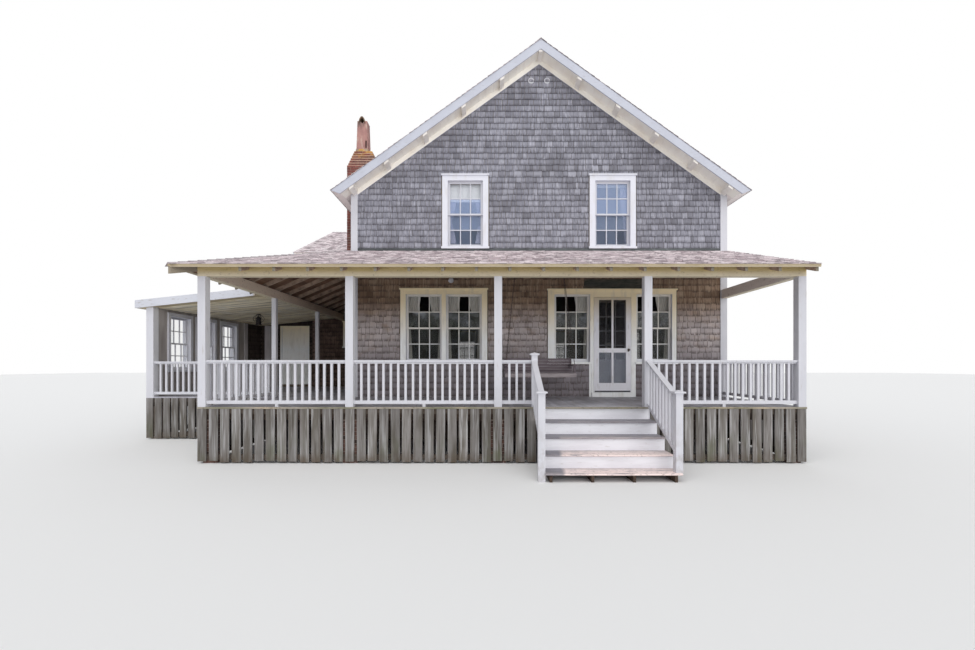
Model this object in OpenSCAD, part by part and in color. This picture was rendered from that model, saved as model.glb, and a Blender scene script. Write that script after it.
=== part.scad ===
// Two-storey shingled beach house: a gable-fronted main block, a porch round its front
// and left side, a garden room beyond the porch, and a lower wing behind.
// The origin is on the ground, on the centre line of the gable, at the front wall.
// X runs to the right as seen from the front, Y to the back and Z up. Millimetres.

/* [Main house] */
// Width over the side walls
house_w = 8420; // [8300:20:8560]
// Depth from the front wall to the back wall
house_d = 11200; // [10800:50:11600]
// Thickness of the framed outer walls
wall_t = 150; // [130:5:170]
// Height of the foundation walls
foundation_h = 780; // [740:10:800]
// Thickness of the foundation walls
foundation_t = 220; // [190:10:260]
// Ground floor above the porch deck
floor_step = 75; // [60:5:85]
// Upper floor above the ground floor
storey_h = 2720; // [2660:10:2800]
// Thickness of each floor
floor_t = 250; // [200:10:280]
// Top of the side walls above the upper floor
knee_h = 1785; // [1740:15:1860]
// Thickness of boards used as white trim
trim_t = 25; // [20:1:32]
// Width of the corner boards
corner_w = 150; // [120:5:180]

/* [Main roof] */
// Rise of the main roof for each unit of run
roof_rise = 0.72; // [0.7:0.01:0.75]
// Plumb thickness of the main roof
roof_t = 170; // [150:5:190]
// Overhang of the eaves past the side walls
eave_over = 345; // [300:15:400]
// Overhang of the roof past the gable walls
rake_over = 400; // [340:20:460]
// Plumb height of the rake boards
rake_h = 210; // [190:5:240]
// Level setback of the cut at the foot of each slope
eave_cut = 190; // [150:10:220]
// Plumb height of the frieze boards under the slopes
frieze_h = 125; // [100:5:150]
// Spacing of the outlooker blocks, measured level
outlooker_pitch = 840; // [780:20:900]
// Size of an outlooker block
outlooker_s = 90; // [70:5:110]

/* [Porch] */
// Height of the porch deck above the ground
deck_z = 955; // [935:5:975]
// Thickness of the deck boards
deck_t = 30; // [25:1:38]
// Depth of the front porch from the wall to the front of its posts
porch_d = 2480; // [2400:20:2560]
// Width of the left porch from the wall to the outside of its posts
side_porch_w = 1860; // [1780:20:1960]
// Side of the square porch posts
post_s = 132; // [120:4:144]
// Side of the plainer posts along the left side
side_post_s = 95; // [88:1:105]
// First bay of the front porch between post centres, from the left
bay_1 = 2500; // [2440:20:2560]
// Second bay of the front porch
bay_2 = 2525; // [2465:20:2585]
// Third bay of the front porch
bay_3 = 2545; // [2485:20:2605]
// Spacing of the posts along the left side behind the front wall
side_bay = 2500; // [2350:50:2600]
// Underside of the porch beams above the deck
beam_up = 2217; // [2187:10:2247]
// Height of the porch beams
beam_h = 190; // [170:5:210]
// Overhang of the porch roof past its posts
porch_over = 300; // [260:10:340]
// Fall of the porch roof from the wall to its eave
porch_fall = 925; // [895:10:965]
// Plumb thickness of the porch roof boards and shingles
porch_roof_t = 35; // [30:1:45]
// Drop from the top of the beams to the top edge of the eave
eave_drop = 47; // [42:5:62]
// Spacing of the porch rafters
rafter_pitch = 553; // [533:10:593]
// Width of a rafter
rafter_w = 45; // [38:1:50]
// Plumb depth of a rafter
rafter_h = 95; // [85:5:105]

/* [Railings and skirts] */
// Height of the railings above the deck
rail_h = 795; // [765:10:835]
// Gap under the bottom rail
rail_gap = 50; // [40:5:70]
// Width of the top rail
rail_w = 90; // [70:5:110]
// Height of the top and bottom rails
rail_bar = 58; // [50:2:70]
// Side of a baluster
baluster_s = 38; // [34:1:44]
// Spacing of the balusters
baluster_pitch = 127; // [117:2:141]
// Width of a skirt board
skirt_board = 150; // [130:5:170]
// Gap between skirt boards
skirt_gap = 40; // [30:2:55]
// Gap between the skirt boards and the ground
skirt_clear = 30; // [20:5:60]

/* [Stair] */
// Width of the stair
stair_w = 1940; // [1860:20:2000]
// Rise of each step
step_rise = 206; // [200:2:210]
// Going of each step
step_going = 310; // [290:5:330]
// Thickness of a tread
tread_t = 28; // [24:1:34]
// Number of treads below the deck
treads = 4; // [4:1:4]
// Side of a newel post
newel_s = 102; // [94:2:116]
// Top of the upper newel above the deck, without its cap
newel_up = 870; // [845:5:895]
// Top of the lower newels above the ground, without their caps
newel_low = 1250; // [1200:10:1300]

/* [Windows and doors] */
// Width of a ground floor window opening
ground_win_w = 805; // [780:5:815]
// Height of a ground floor window opening
ground_win_h = 1535; // [1480:5:1550]
// Sill of the ground floor windows above the floor
ground_sill = 705; // [690:5:740]
// Width of an upper window opening
upper_win_w = 790; // [760:5:820]
// Height of an upper window opening
upper_win_h = 1490; // [1430:10:1520]
// Sill of the upper windows above the upper floor
upper_sill = 585; // [560:5:620]
// Distance of the upper windows from the centre line
upper_win_x = 1660; // [1600:10:1720]
// Centre of the front window pair left of the centre line
pair_x = 2144; // [2104:10:2184]
// Width of the face boards round a window
casing_w = 125; // [100:5:135]
// Thickness of window face boards
casing_t = 30; // [25:1:36]
// Width of the stiles of a sash
stile_w = 50; // [42:1:58]
// Thickness of a sash
sash_t = 35; // [30:1:40]
// Centre of the front door right of the centre line
door_x = 1652; // [1640:2:1670]
// Width of the front door leaves
door_w = 830; // [814:2:840]
// Drop of the doorway's head below the heads of the windows
head_drop = 70; // [62:2:90]
// Height of the door sill above the deck
sill_up = 100; // [92:4:108]
// Width of a door jamb
jamb_w = 45; // [40:1:50]
// Gap round a hinged door leaf
leaf_gap = 6; // [5:1:7]

/* [Chimney] */
// Width of the brick chimney
chimney_w = 740; // [700:10:780]
// Depth of the brick chimney
chimney_l = 600; // [540:20:660]
// Distance of the chimney behind the front wall
chimney_y = 1000; // [900:20:1100]
// How far the chimney stands out of the left wall
chimney_out = 430; // [400:10:460]
// Height at which the chimney starts to step in
shoulder_z = 6620; // [6500:20:6700]
// Height of the stepped part of the chimney
shoulder_h = 400; // [350:10:450]
// Width of the chimney above its steps
neck_w = 440; // [400:10:500]
// Height of the clay flue above the brickwork
flue_h = 720; // [640:20:780]
// Width of the clay flue at its foot
flue_w = 285; // [265:10:305]

/* [Rear wing and garden room] */
// Distance of the wing's front wall behind the main front wall
wing_y = 4770; // [4700:10:4840]
// Width of the wing left of the main house
wing_w = 2790; // [2700:30:2880]
// Top of the wing's walls above the upper floor
wing_knee_h = 1633; // [1590:10:1680]
// Rise of the wing's roof for each unit of run
wing_rise = 0.478; // [0.46:0.01:0.5]
// Plumb thickness of the wing's roof
wing_roof_t = 150; // [130:5:170]
// Overhang of the wing's roof
wing_over = 430; // [380:10:460]
// Left face of the garden room, from the house's left wall
garden_w = 4650; // [4550:20:4750]
// Side of the garden room's corner post
garden_post_s = 160; // [140:5:175]
// Rise of the garden room's roof for each unit of run
garden_rise = 0.105; // [0.1:0.005:0.11]
// Thickness of the garden room's roof
garden_roof_t = 85; // [75:5:90]
// Overhang of the garden room's roof
garden_over = 200; // [160:10:240]
// Height of the fascia above the garden room's roof
fascia_up = 90; // [70:5:100]

/* [Porch swing] */
// Centre of the swing left of the centre line
swing_x = 130; // [100:10:160]
// Distance of the swing's hooks in front of the wall
swing_y = 1180; // [1120:10:1240]
// Width of the swing bench
bench_w = 1400; // [1360:20:1440]
// Distance between the swing's two hooks
hook_span = 940; // [900:20:980]
// Height of the bench seat above the deck
seat_up = 555; // [535:10:575]

/* [Hidden] */

white = [0.89, 0.9, 0.93];
cream = [0.8, 0.77, 0.7];
shingle = [0.5, 0.5, 0.53];
roof_grey = [0.66, 0.6, 0.6];
deck_grey = [0.5, 0.5, 0.52];
weathered = [0.55, 0.53, 0.49];
old_wood = [0.42, 0.36, 0.31];
brick = [0.62, 0.36, 0.3];
clay = [0.8, 0.56, 0.47];
pane = [0.35, 0.42, 0.5, 0.5];
iron = [0.12, 0.12, 0.13];

// Levels
floor_z = deck_z + floor_step;
upper_z = floor_z + storey_h;
wall_top = upper_z + knee_h;
half_w = house_w / 2;
ridge_z = wall_top + roof_rise * half_w + roof_t;
eave_x = half_w + eave_over;
foundation_out = 30;
// Clearance where a sloping piece lies on another
contact = 0.05;
// Depth to which far-reaching cutters run
far = 20000;

// Height of the main roof's top and underside, by distance from the ridge
function roof_top(x) = ridge_z - roof_rise * abs(x);
function roof_under(x) = roof_top(x) - roof_t;

// Porch
porch_x = -half_w - side_porch_w;
beam_z = deck_z + beam_up;
beam_top = beam_z + beam_h;
porch_eave_z = beam_top - eave_drop;
porch_eave_y = -porch_d - porch_over;
porch_eave_x = porch_x - porch_over + 10;
front_slope = porch_fall / -porch_eave_y;
side_slope = porch_fall / (-half_w - porch_eave_x);
porch_right = half_w + 30;
porch_end_x = half_w + 56;
porch_seat = porch_roof_t + contact;
porch_top = porch_eave_z + porch_fall;
post_c = post_s / 2;
post_1 = porch_x + post_c;
post_2 = post_1 + bay_1;
post_3 = post_2 + bay_2;
post_4 = post_3 + bay_3;
post_5 = porch_right - post_c;
side_post_x = porch_x + 108;
garden_post_foot_z = deck_z - deck_t;

// Height of the porch roof's top, over the front and over the left side
function porch_front_z(y) = porch_eave_z + front_slope * (y - porch_eave_y);
function porch_left_z(x) = porch_eave_z + side_slope * (x - porch_eave_x);

// Stair, flush with the right side of the fourth post
stair_right = post_4 + post_c - 30;
stair_left = stair_right - stair_w;
stair_foot_y = -porch_d - treads * step_going;
upper_newel_x = stair_left - 22;
newel_left = stair_left - 50;
newel_right = stair_right - 30;
newel_y = stair_foot_y + 95;

// Rear wing and garden room
wing_x = -half_w - wing_w;
wing_mid_y = (wing_y + house_d) / 2;
wing_top = upper_z + wing_knee_h;
wing_ridge_z = wing_top + wing_rise * (house_d - wing_mid_y) + wing_roof_t;
garden_x = -half_w - garden_w;
garden_eave_x = garden_x - garden_over;
garden_front_y = -50;

// Height of the wing's roof, by distance from the front wall, and of the garden room's roof
function wing_roof_z(y) = wing_ridge_z - wing_rise * abs(y - wing_mid_y);
function garden_z(x) = porch_eave_z + garden_rise * (x - porch_eave_x);
function garden_under(x) = garden_z(x) - garden_roof_t - contact;

// Chimney
chimney_x = -half_w - chimney_out + chimney_w / 2;
chimney_mid_y = chimney_y + chimney_l / 2;

// Doorway
leaf_left = door_x - door_w / 2;
leaf_right = door_x + door_w / 2;
sill_z = deck_z + sill_up;
jamb_left = leaf_left - leaf_gap - jamb_w;
jamb_right = leaf_right + leaf_gap + jamb_w;
leaf_z = sill_z + leaf_gap;
ground_win_z = floor_z + ground_sill;
head_z = ground_win_z + ground_win_h - head_drop;
leaf_top = head_z - leaf_gap;
door_h = leaf_top - leaf_z;
liner_t = 20;
light_gap_left = 36;
light_gap_right = 72;
left_light_x = jamb_left - light_gap_left - ground_win_w / 2;
right_light_x = jamb_right + light_gap_right + ground_win_w / 2;
upper_win_z = upper_z + upper_sill;
pair_mullion = 98;
pair_off = (ground_win_w + pair_mullion) / 2;
ground_head = 100;
door_head = 85;
casing_top = ground_win_z + ground_win_h + door_head;
split_z = ground_win_z + ground_win_h + liner_t;

// Block between two opposite corners
module block(a, b) { translate(a) cube(b - a); }

// Outline drawn in X and Z, run along Y
module along_y(y0, y1) {
  translate([0, y1, 0]) rotate([90, 0, 0]) linear_extrude(y1 - y0) children();
}

// Outline drawn in Y and Z, run along X
module along_x(x0, x1) {
  translate([x0, 0, 0]) rotate([90, 0, 90]) linear_extrude(x1 - x0) children();
}

// One slope of the main roof, or of a board that lies under its top edge
module slope_outline(side, t) {
  polygon([[0, roof_top(0)], [side * eave_x, roof_top(eave_x)],
    [side * (eave_x - eave_cut), roof_top(eave_x - eave_cut) - t], [0, roof_top(0) - t]]);
}

// Everything below the underside of the main roof, between two heights at the side
module under_roof_outline(half, base) {
  polygon([[-half, base], [half, base], [half, roof_under(half)],
    [0, roof_under(0)], [-half, roof_under(half)]]);
}

module chimney_shaft(z0, z1) {
  block([chimney_x - chimney_w / 2, chimney_y, z0],
    [chimney_x + chimney_w / 2, chimney_y + chimney_l, z1]);
}

// Sizes and places of the windows that are not in the front wall:
// x, y, sill height, turn, width and height of the opening
side_win_ys = [2000, 5600, 9200];
small_h = 1285;
garden_win_z = deck_z + 590;
garden_win_w = 700;
garden_win_ys = [885, 1880, 2925];
kitchen_win_w = 840;
kitchen_win_h = 705;
kitchen_in = 1550;
kitchen_x = wing_x + kitchen_in;
kitchen_z = floor_z + 1260;
knee_win_h = 1050;
knee_z = upper_z + 350;
left_win_y = 3200;
side_windows = concat(
  [for (y = side_win_ys) [half_w, y, ground_win_z, 90, ground_win_w, ground_win_h]],
  [for (y = [side_win_ys[0], side_win_ys[2]]) [half_w, y, knee_z, 90, upper_win_w, knee_win_h]],
  [for (x = [-upper_win_x, upper_win_x]) [x, house_d, upper_win_z, 180, upper_win_w, upper_win_h]],
  [for (x = [-pair_x, pair_x]) [x, house_d, ground_win_z, 180, ground_win_w, ground_win_h]],
  [[kitchen_x, wing_y, kitchen_z, 0, kitchen_win_w, kitchen_win_h],
   [-half_w, left_win_y, ground_win_z, -90, ground_win_w, ground_win_h],
   [wing_x + wing_w / 2, house_d, ground_win_z, 180, ground_win_w, ground_win_h],
   [wing_x + wing_w / 2, house_d, knee_z, 180, upper_win_w, knee_win_h],
   [wing_x, wing_mid_y, upper_z + 700, -90, upper_win_w, small_h]],
  [for (y = garden_win_ys) [garden_x, y, garden_win_z, -90, garden_win_w, small_h]]);
front_windows = concat(
  [for (s = [-1, 1]) [s * upper_win_x, 0, upper_win_z, 0, upper_win_w, upper_win_h]],
  [for (s = [-1, 1]) [s * pair_off - pair_x, 0, ground_win_z, 0, ground_win_w, ground_win_h]],
  [for (x = [left_light_x, right_light_x]) [x, 0, ground_win_z, 0, ground_win_w, ground_win_h]]);

// Moves a window, drawn with its outer face at Y = 0, to its place in a wall
module put(w) { translate([w[0], w[1], w[2]]) rotate([0, 0, w[3]]) children(); }

// Holes for a list of windows, with room for the liners
module window_holes(list) {
  for (w = list) put(w)
    block([-w[4] / 2 - liner_t, -1, -liner_t], [w[4] / 2 + liner_t, wall_t + 1, w[5] + liner_t]);
}
function facing(turn) = [for (w = side_windows) if (w[3] == turn) w];

// Face boards, liner, sill and head cap of one window
head_board = 112;
sill_h = 45;
sill_out = 60;
cap_h = 30;
module window_case(w, h, side_w, top_w) {
  difference() {
    union() {
      block([-w / 2 - side_w, -casing_t, -sill_h], [w / 2 + side_w, 0, h + top_w]);
      block([-w / 2 - liner_t, 0, -liner_t], [w / 2 + liner_t, wall_t, h + liner_t]);
    }
    block([-w / 2, -casing_t - 1, 0], [w / 2, wall_t + 1, h]);
  }
  block([-w / 2 - side_w - liner_t, -sill_out, -sill_h], [w / 2 + side_w + liner_t, -casing_t, 0]);
  block([-w / 2 - side_w - liner_t, -sill_out, h + top_w],
    [w / 2 + side_w + liner_t, 0, h + top_w + cap_h]);
}

// Two sashes of a double-hung window, the upper one in the outer track
sash_y = 40;
meeting_h = 36;
top_rail_h = 50;
bottom_rail_h = 75;
track_gap = 3;
module sash_frame(w, z0, z1, low_h, top_h, y) {
  difference() {
    block([-w / 2, y, z0], [w / 2, y + sash_t, z1]);
    block([-w / 2 + stile_w, y - 1, z0 + low_h], [w / 2 - stile_w, y + sash_t + 1, z1 - top_h]);
  }
}
module sash_pair(w, h) {
  mid = h / 2;
  sash_frame(w, mid - meeting_h / 2, h, meeting_h, top_rail_h, sash_y);
  sash_frame(w, 0, mid + meeting_h / 2, bottom_rail_h, meeting_h, sash_y + sash_t + track_gap);
}
glass_t = 4;
module sash_glass(w, h) {
  mid = h / 2;
  y_up = sash_y + (sash_t - glass_t) / 2;
  y_low = y_up + sash_t + track_gap;
  block([-w / 2 + stile_w, y_up, mid + meeting_h / 2], [w / 2 - stile_w, y_up + glass_t, h - top_rail_h]);
  block([-w / 2 + stile_w, y_low, bottom_rail_h], [w / 2 - stile_w, y_low + glass_t, mid - meeting_h / 2]);
}

// Ring of foundation walls under the house and the wing, and the piers under the deck
pier_s = 240;
joist_h = 190;
joist_w = 45;
frame_z = deck_z - deck_t - joist_h;
module foundation_ring(a, b) {
  out = [foundation_out, foundation_out, 0];
  thick = [foundation_t, foundation_t, 0];
  difference() {
    block([a[0], a[1], 0] - out, [b[0], b[1], foundation_h] + out);
    block([a[0], a[1], -1] - out + thick, [b[0], b[1], foundation_h + 1] + out - thick);
  }
}
module foundation() color(brick) {
  difference() {
    union() {
      foundation_ring([-half_w, 0], [half_w, house_d]);
      foundation_ring([garden_x, wing_y], [-half_w, house_d]);
    }
    chimney_shaft(-1, foundation_h + 1);
  }
  for (p = pier_spots)
    block([p[0] - pier_s / 2, p[1] - pier_s / 2, 0], [p[0] + pier_s / 2, p[1] + pier_s / 2, frame_z]);
}
skirt_t = 22;
nailer_t = 38;
rim_back = skirt_t + nailer_t;
pier_in = rim_back + pier_s / 2 + 5;
front_pier_y = -porch_d + rim_back + pier_s / 2;
pier_spots = concat(
  [for (x = [porch_x + pier_in, post_2, post_3, post_4, porch_right - pier_in]) [x, front_pier_y]],
  [[porch_x + pier_in, 0], [porch_x + pier_in, side_bay],
   [garden_x + pier_in, pier_in], [garden_x + pier_in, side_bay]]);

// Rim joists with joists between them, in a rectangle
module joist_grid(x0, y0, x1, y1) {
  z1 = deck_z - deck_t;
  n = ceil((x1 - x0 - joist_w) / 600);
  for (i = [0:n])
    block([x0 + i * (x1 - x0 - joist_w) / n, y0, frame_z],
      [x0 + i * (x1 - x0 - joist_w) / n + joist_w, y1, z1]);
  for (y = [y0, y1 - joist_w]) block([x0, y, frame_z], [x1, y + joist_w, z1]);
}
frame_clear = foundation_out + 2;
module deck_frame() color(old_wood) difference() {
  union() {
    joist_grid(porch_x + rim_back, -porch_d + rim_back, porch_right - rim_back, -frame_clear);
    joist_grid(garden_x + rim_back, rim_back, -half_w - frame_clear, wing_y - frame_clear);
  }
  chimney_shaft(0, deck_z);
}

// Places of the posts that stand on the deck, centre and side, and the one let through its corner
post_places = concat(
  [for (x = [post_1, post_2, post_3, post_4, post_5]) [x, -porch_d + post_c, post_s]],
  [for (y = [0, side_bay]) [side_post_x, y, side_post_s]]);
module garden_post_notch()
  block([garden_x, 0, garden_post_foot_z], [garden_x + garden_post_s, garden_post_s, deck_z + 1]);

// Deck boards as two sheets with an open seam between them
deck_edge = 12;
deck_lip = 8;
seam = 3;
module deck() color(deck_grey) difference() {
  union() {
    block([porch_x - deck_lip, -porch_d - deck_lip, deck_z - deck_t], [porch_right + deck_lip, 0, deck_z]);
    block([garden_x + deck_edge, seam, deck_z - deck_t], [-half_w, wing_y, deck_z]);
  }
  chimney_shaft(0, deck_z + 1);
  garden_post_notch();
}

// Panel of upright boards on two nailers, run along X with its face at Y = 0
nailer_h = 90;
skirt_top = deck_z - deck_t;
module skirt_panel(len) {
  n = round((len - skirt_board) / (skirt_board + skirt_gap));
  step = (len - skirt_board) / n;
  for (i = [0:n]) block([i * step, 0, skirt_clear], [i * step + skirt_board, skirt_t, skirt_top]);
  for (z = [skirt_clear + 30, skirt_top - nailer_h])
    block([0, skirt_t, z], [len, skirt_t + nailer_t, z + nailer_h]);
}
skirt_gap_end = 2;
module skirt_front() color(weathered) {
  translate([porch_x, -porch_d, 0]) skirt_panel(stair_left - porch_x);
  translate([stair_right + skirt_gap_end, -porch_d, 0])
    skirt_panel(porch_right - stair_right - skirt_gap_end);
}
module skirt_sides() color(weathered) {
  side_in = rim_back + skirt_gap_end;
  translate([porch_right, -porch_d + side_in, 0]) rotate([0, 0, 90])
    skirt_panel(porch_d - side_in - foundation_out);
  translate([porch_x, -skirt_gap_end, 0]) rotate([0, 0, -90])
    skirt_panel(porch_d - side_in - skirt_gap_end);
  translate([garden_x, 0, 0]) skirt_panel(porch_x - garden_x - skirt_gap_end);
  translate([garden_x, wing_y - foundation_out, 0]) rotate([0, 0, -90])
    skirt_panel(wing_y - foundation_out - side_in);
}

// Saw-tooth stringers under the treads
stringer_w = 40;
riser_t = 18;
function tread_top(k) = deck_z - k * step_rise;
function tread_front(k) = -porch_d - k * step_going;
nosing = 30;
function riser_back(k) = tread_front(k) + nosing + riser_t;
stringer_foot_z = skirt_top - 310;
stair_slope = step_rise / step_going;
stringer_points = concat(
  [[-porch_d + rim_back, stringer_foot_z], [-porch_d + rim_back, skirt_top], [riser_back(0), skirt_top]],
  [for (k = [1:treads]) each [[riser_back(k - 1), tread_top(k) - tread_t],
    [k < treads ? riser_back(k) : tread_front(k) + nosing, tread_top(k) - tread_t]]],
  [[tread_front(treads) + nosing, 0],
   [-porch_d + rim_back - stringer_foot_z / stair_slope, 0]]);
stringers = 4;
stringer_in = 60;
stringer_pitch = (stair_w - 2 * stringer_in - stringer_w) / (stringers - 1);
module stair_stringers() color(old_wood)
  for (i = [0:stringers - 1]) {
    x = stair_left + stringer_in + i * stringer_pitch;
    along_x(x, x + stringer_w) polygon(stringer_points);
  }

// Treads, each a plank with a nosing past the riser below it
module stair_treads() color(deck_grey)
  difference() {
    for (k = [1:treads])
      block([stair_left, tread_front(k), tread_top(k) - tread_t],
        [stair_right, riser_back(k - 1), tread_top(k)]);
    newel_posts();
  }

// Risers on the back edges of the treads, with the space under the lowest tread left open
module stair_risers() color(white)
  for (k = [0:treads - 1])
    block([stair_left, riser_back(k) - riser_t, tread_top(k + 1)],
      [stair_right, riser_back(k), tread_top(k) - (k > 0 ? tread_t : deck_t)]);

// Newel posts: one on the edge of the deck, one beside the lowest tread and one standing on it
newel_cap_w = 160;
newel_cap_h = 34;
module newel_cap(x, y, z) {
  for (c = [[12, 0], [newel_cap_w - newel_s, 14]])
    block([x - (newel_s + c[0]) / 2, y - (newel_s + c[0]) / 2, z + c[1]],
      [x + (newel_s + c[0]) / 2, y + (newel_s + c[0]) / 2, z + (c[1] == 0 ? 14 : newel_cap_h)]);
  translate([x, y, z + newel_cap_h]) intersection() {
    half = newel_cap_w / 2;
    along_y(-half, half) polygon([[-half, 0], [half, 0], [0, 26]]);
    along_x(-half, half) polygon([[-half, 0], [half, 0], [0, 26]]);
  }
}
upper_newel_y = -porch_d + newel_s / 2;
module newel_posts() {
  half = newel_s / 2;
  block([upper_newel_x - half, upper_newel_y - half, deck_z],
    [upper_newel_x + half, upper_newel_y + half, deck_z + newel_up]);
  for (foot = [[newel_left, 0], [newel_right, tread_top(treads)]])
    block([foot[0] - half, newel_y - half, foot[1]], [foot[0] + half, newel_y + half, newel_low]);
}
module newels() color(white) {
  newel_posts();
  newel_cap(upper_newel_x, upper_newel_y, deck_z + newel_up);
  for (x = [newel_left, newel_right]) newel_cap(x, newel_y, newel_low);
}

// Sloping railing beside the stair, from a lower newel up to a post at the deck's edge
hand_low = newel_low - 15;
hand_high = deck_z + rail_h;
foot_rail_low = 385;
foot_rail_high = deck_z + 6;
module stair_rail(x) {
  y0 = newel_y + newel_s / 2;
  y1 = -porch_d;
  n = round((y1 - y0) / baluster_pitch);
  function hand_z(y) = hand_low + (hand_high - hand_low) * (y - y0) / (y1 - y0);
  function foot_z(y) = foot_rail_low + (foot_rail_high - foot_rail_low) * (y - y0) / (y1 - y0);
  along_x(x - rail_w / 2, x + rail_w / 2) polygon([[y0, hand_z(y0) - rail_bar / 2],
    [y1, hand_z(y1) - rail_bar / 2], [y1, hand_z(y1)], [y0, hand_z(y0)]]);
  along_x(x - baluster_s / 2, x + baluster_s / 2) {
    polygon([[y0, hand_z(y0) - rail_bar], [y1, hand_z(y1) - rail_bar],
      [y1, hand_z(y1) - rail_bar / 2], [y0, hand_z(y0) - rail_bar / 2]]);
    polygon([[y0, foot_z(y0)], [y1, foot_z(y1)], [y1, foot_z(y1) + rail_bar], [y0, foot_z(y0) + rail_bar]]);
    for (i = [1:n - 1]) {
      a = y0 + i * (y1 - y0) / n - baluster_s / 2;
      b = a + baluster_s;
      polygon([[a, foot_z(a)], [b, foot_z(b)], [b, hand_z(b) - rail_bar / 2], [a, hand_z(a) - rail_bar / 2]]);
    }
  }
}
module stair_rails() color(white) {
  stair_rail(stair_left - 34);
  stair_rail(newel_right - 6);
}

// Square posts from the deck up to the beams, and the corner post of the garden room
module porch_posts() color(white) {
  for (p = post_places)
    block([p[0] - p[2] / 2, p[1] - p[2] / 2, deck_z], [p[0] + p[2] / 2, p[1] + p[2] / 2, beam_z]);
  along_y(0, garden_post_s)
    polygon([[garden_x, garden_post_foot_z], [garden_x + garden_post_s, garden_post_foot_z],
      [garden_x + garden_post_s, garden_under(garden_x + garden_post_s)],
      [garden_x, garden_under(garden_x)]]);
}

module beam_front() color(cream)
  block([porch_x, -porch_d, beam_z], [porch_right, -porch_d + post_s, beam_top]);

module beam_sides() color(cream) {
  block([porch_x, -porch_d + post_s, beam_z], [porch_x + post_s, wing_y, beam_top]);
  block([porch_right - post_s, -porch_d + post_s, beam_z], [porch_right, -trim_t, beam_top]);
}

// Level railing between two posts, run along X and centred on Y = 0
foot_s = 50;
module railing(len) {
  bottom = deck_z + rail_gap;
  top = deck_z + rail_h;
  block([0, -rail_w / 2, top - rail_bar / 2], [len, rail_w / 2, top]);
  block([0, -baluster_s / 2, top - rail_bar], [len, baluster_s / 2, top - rail_bar / 2]);
  block([0, -rail_w / 3, bottom], [len, rail_w / 3, bottom + rail_bar]);
  n = round(len / baluster_pitch);
  for (i = [1:n - 1]) block([i * len / n - baluster_s / 2, -baluster_s / 2, bottom + rail_bar],
    [i * len / n + baluster_s / 2, baluster_s / 2, top - rail_bar]);
  if (len > 900)
    block([(len - foot_s) / 2, -foot_s / 2, deck_z], [(len + foot_s) / 2, foot_s / 2, bottom]);
}
rail_y = -porch_d + post_c;
module railings_front() color(white) {
  for (span = [[post_1 + post_c, post_2 - post_c], [post_2 + post_c, post_3 - post_c],
      [post_3 + post_c, upper_newel_x - newel_s / 2], [post_4 + post_c, post_5 - post_c]])
    translate([span[0], rail_y, 0]) railing(span[1] - span[0]);
}
garden_rail_y = 60;
module railings_side() color(white) {
  for (end = [[post_1, side_post_s / 2], [post_5, trim_t]])
    translate([end[0], -porch_d + post_s, 0]) rotate([0, 0, 90]) railing(porch_d - post_s - end[1]);
  translate([garden_x + garden_post_s, garden_rail_y, 0])
    railing(side_post_x - side_post_s / 2 - garden_x - garden_post_s);
}

// Porch rafters: common ones over the front, jacks at the hip, and the hip itself
rafter_set_back = 55;
hip_gap = 2;
hip_len = norm([-half_w - porch_eave_x, -porch_eave_y]);
hip_x_share = (-half_w - porch_eave_x) / hip_len;
hip_y_share = -porch_eave_y / hip_len;
module hip_prism(half_t) {
  translate([porch_eave_x, porch_eave_y, 0]) rotate([0, 0, atan2(hip_y_share, hip_x_share)])
    block([0, -half_t, porch_eave_z - 2 * rafter_h], [hip_len, half_t, far]);
}
module front_rafter(x, y_end) {
  y0 = porch_eave_y + rafter_set_back;
  under = porch_front_z(y0) - porch_seat;
  under_end = porch_front_z(y_end) - porch_seat;
  along_x(x - rafter_w / 2, x + rafter_w / 2)
    polygon([[y0, under - rafter_h], [y_end, under_end - rafter_h], [y_end, under_end], [y0, under]]);
}
module left_rafter(y, x_end) {
  x0 = y < garden_front_y - 100 ? porch_eave_x + rafter_set_back : porch_x + 1;
  under = porch_left_z(x0) - porch_seat;
  under_end = porch_left_z(x_end) - porch_seat;
  along_y(y - rafter_w / 2, y + rafter_w / 2)
    polygon([[x0, under - rafter_h], [x_end, under_end - rafter_h], [x_end, under_end], [x0, under]]);
}
first_rafter = post_1 + 790;
front_rafters = floor((porch_end_x - 2 * rafter_w - first_rafter) / rafter_pitch) + 1;
first_side_rafter = -porch_d + 430;
side_rafters = 13;
jack_clear = rafter_w / 2 + hip_gap;
hip_y0 = porch_eave_y + 15;
hip_y1 = -60;
hip_h = 130;
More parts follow.
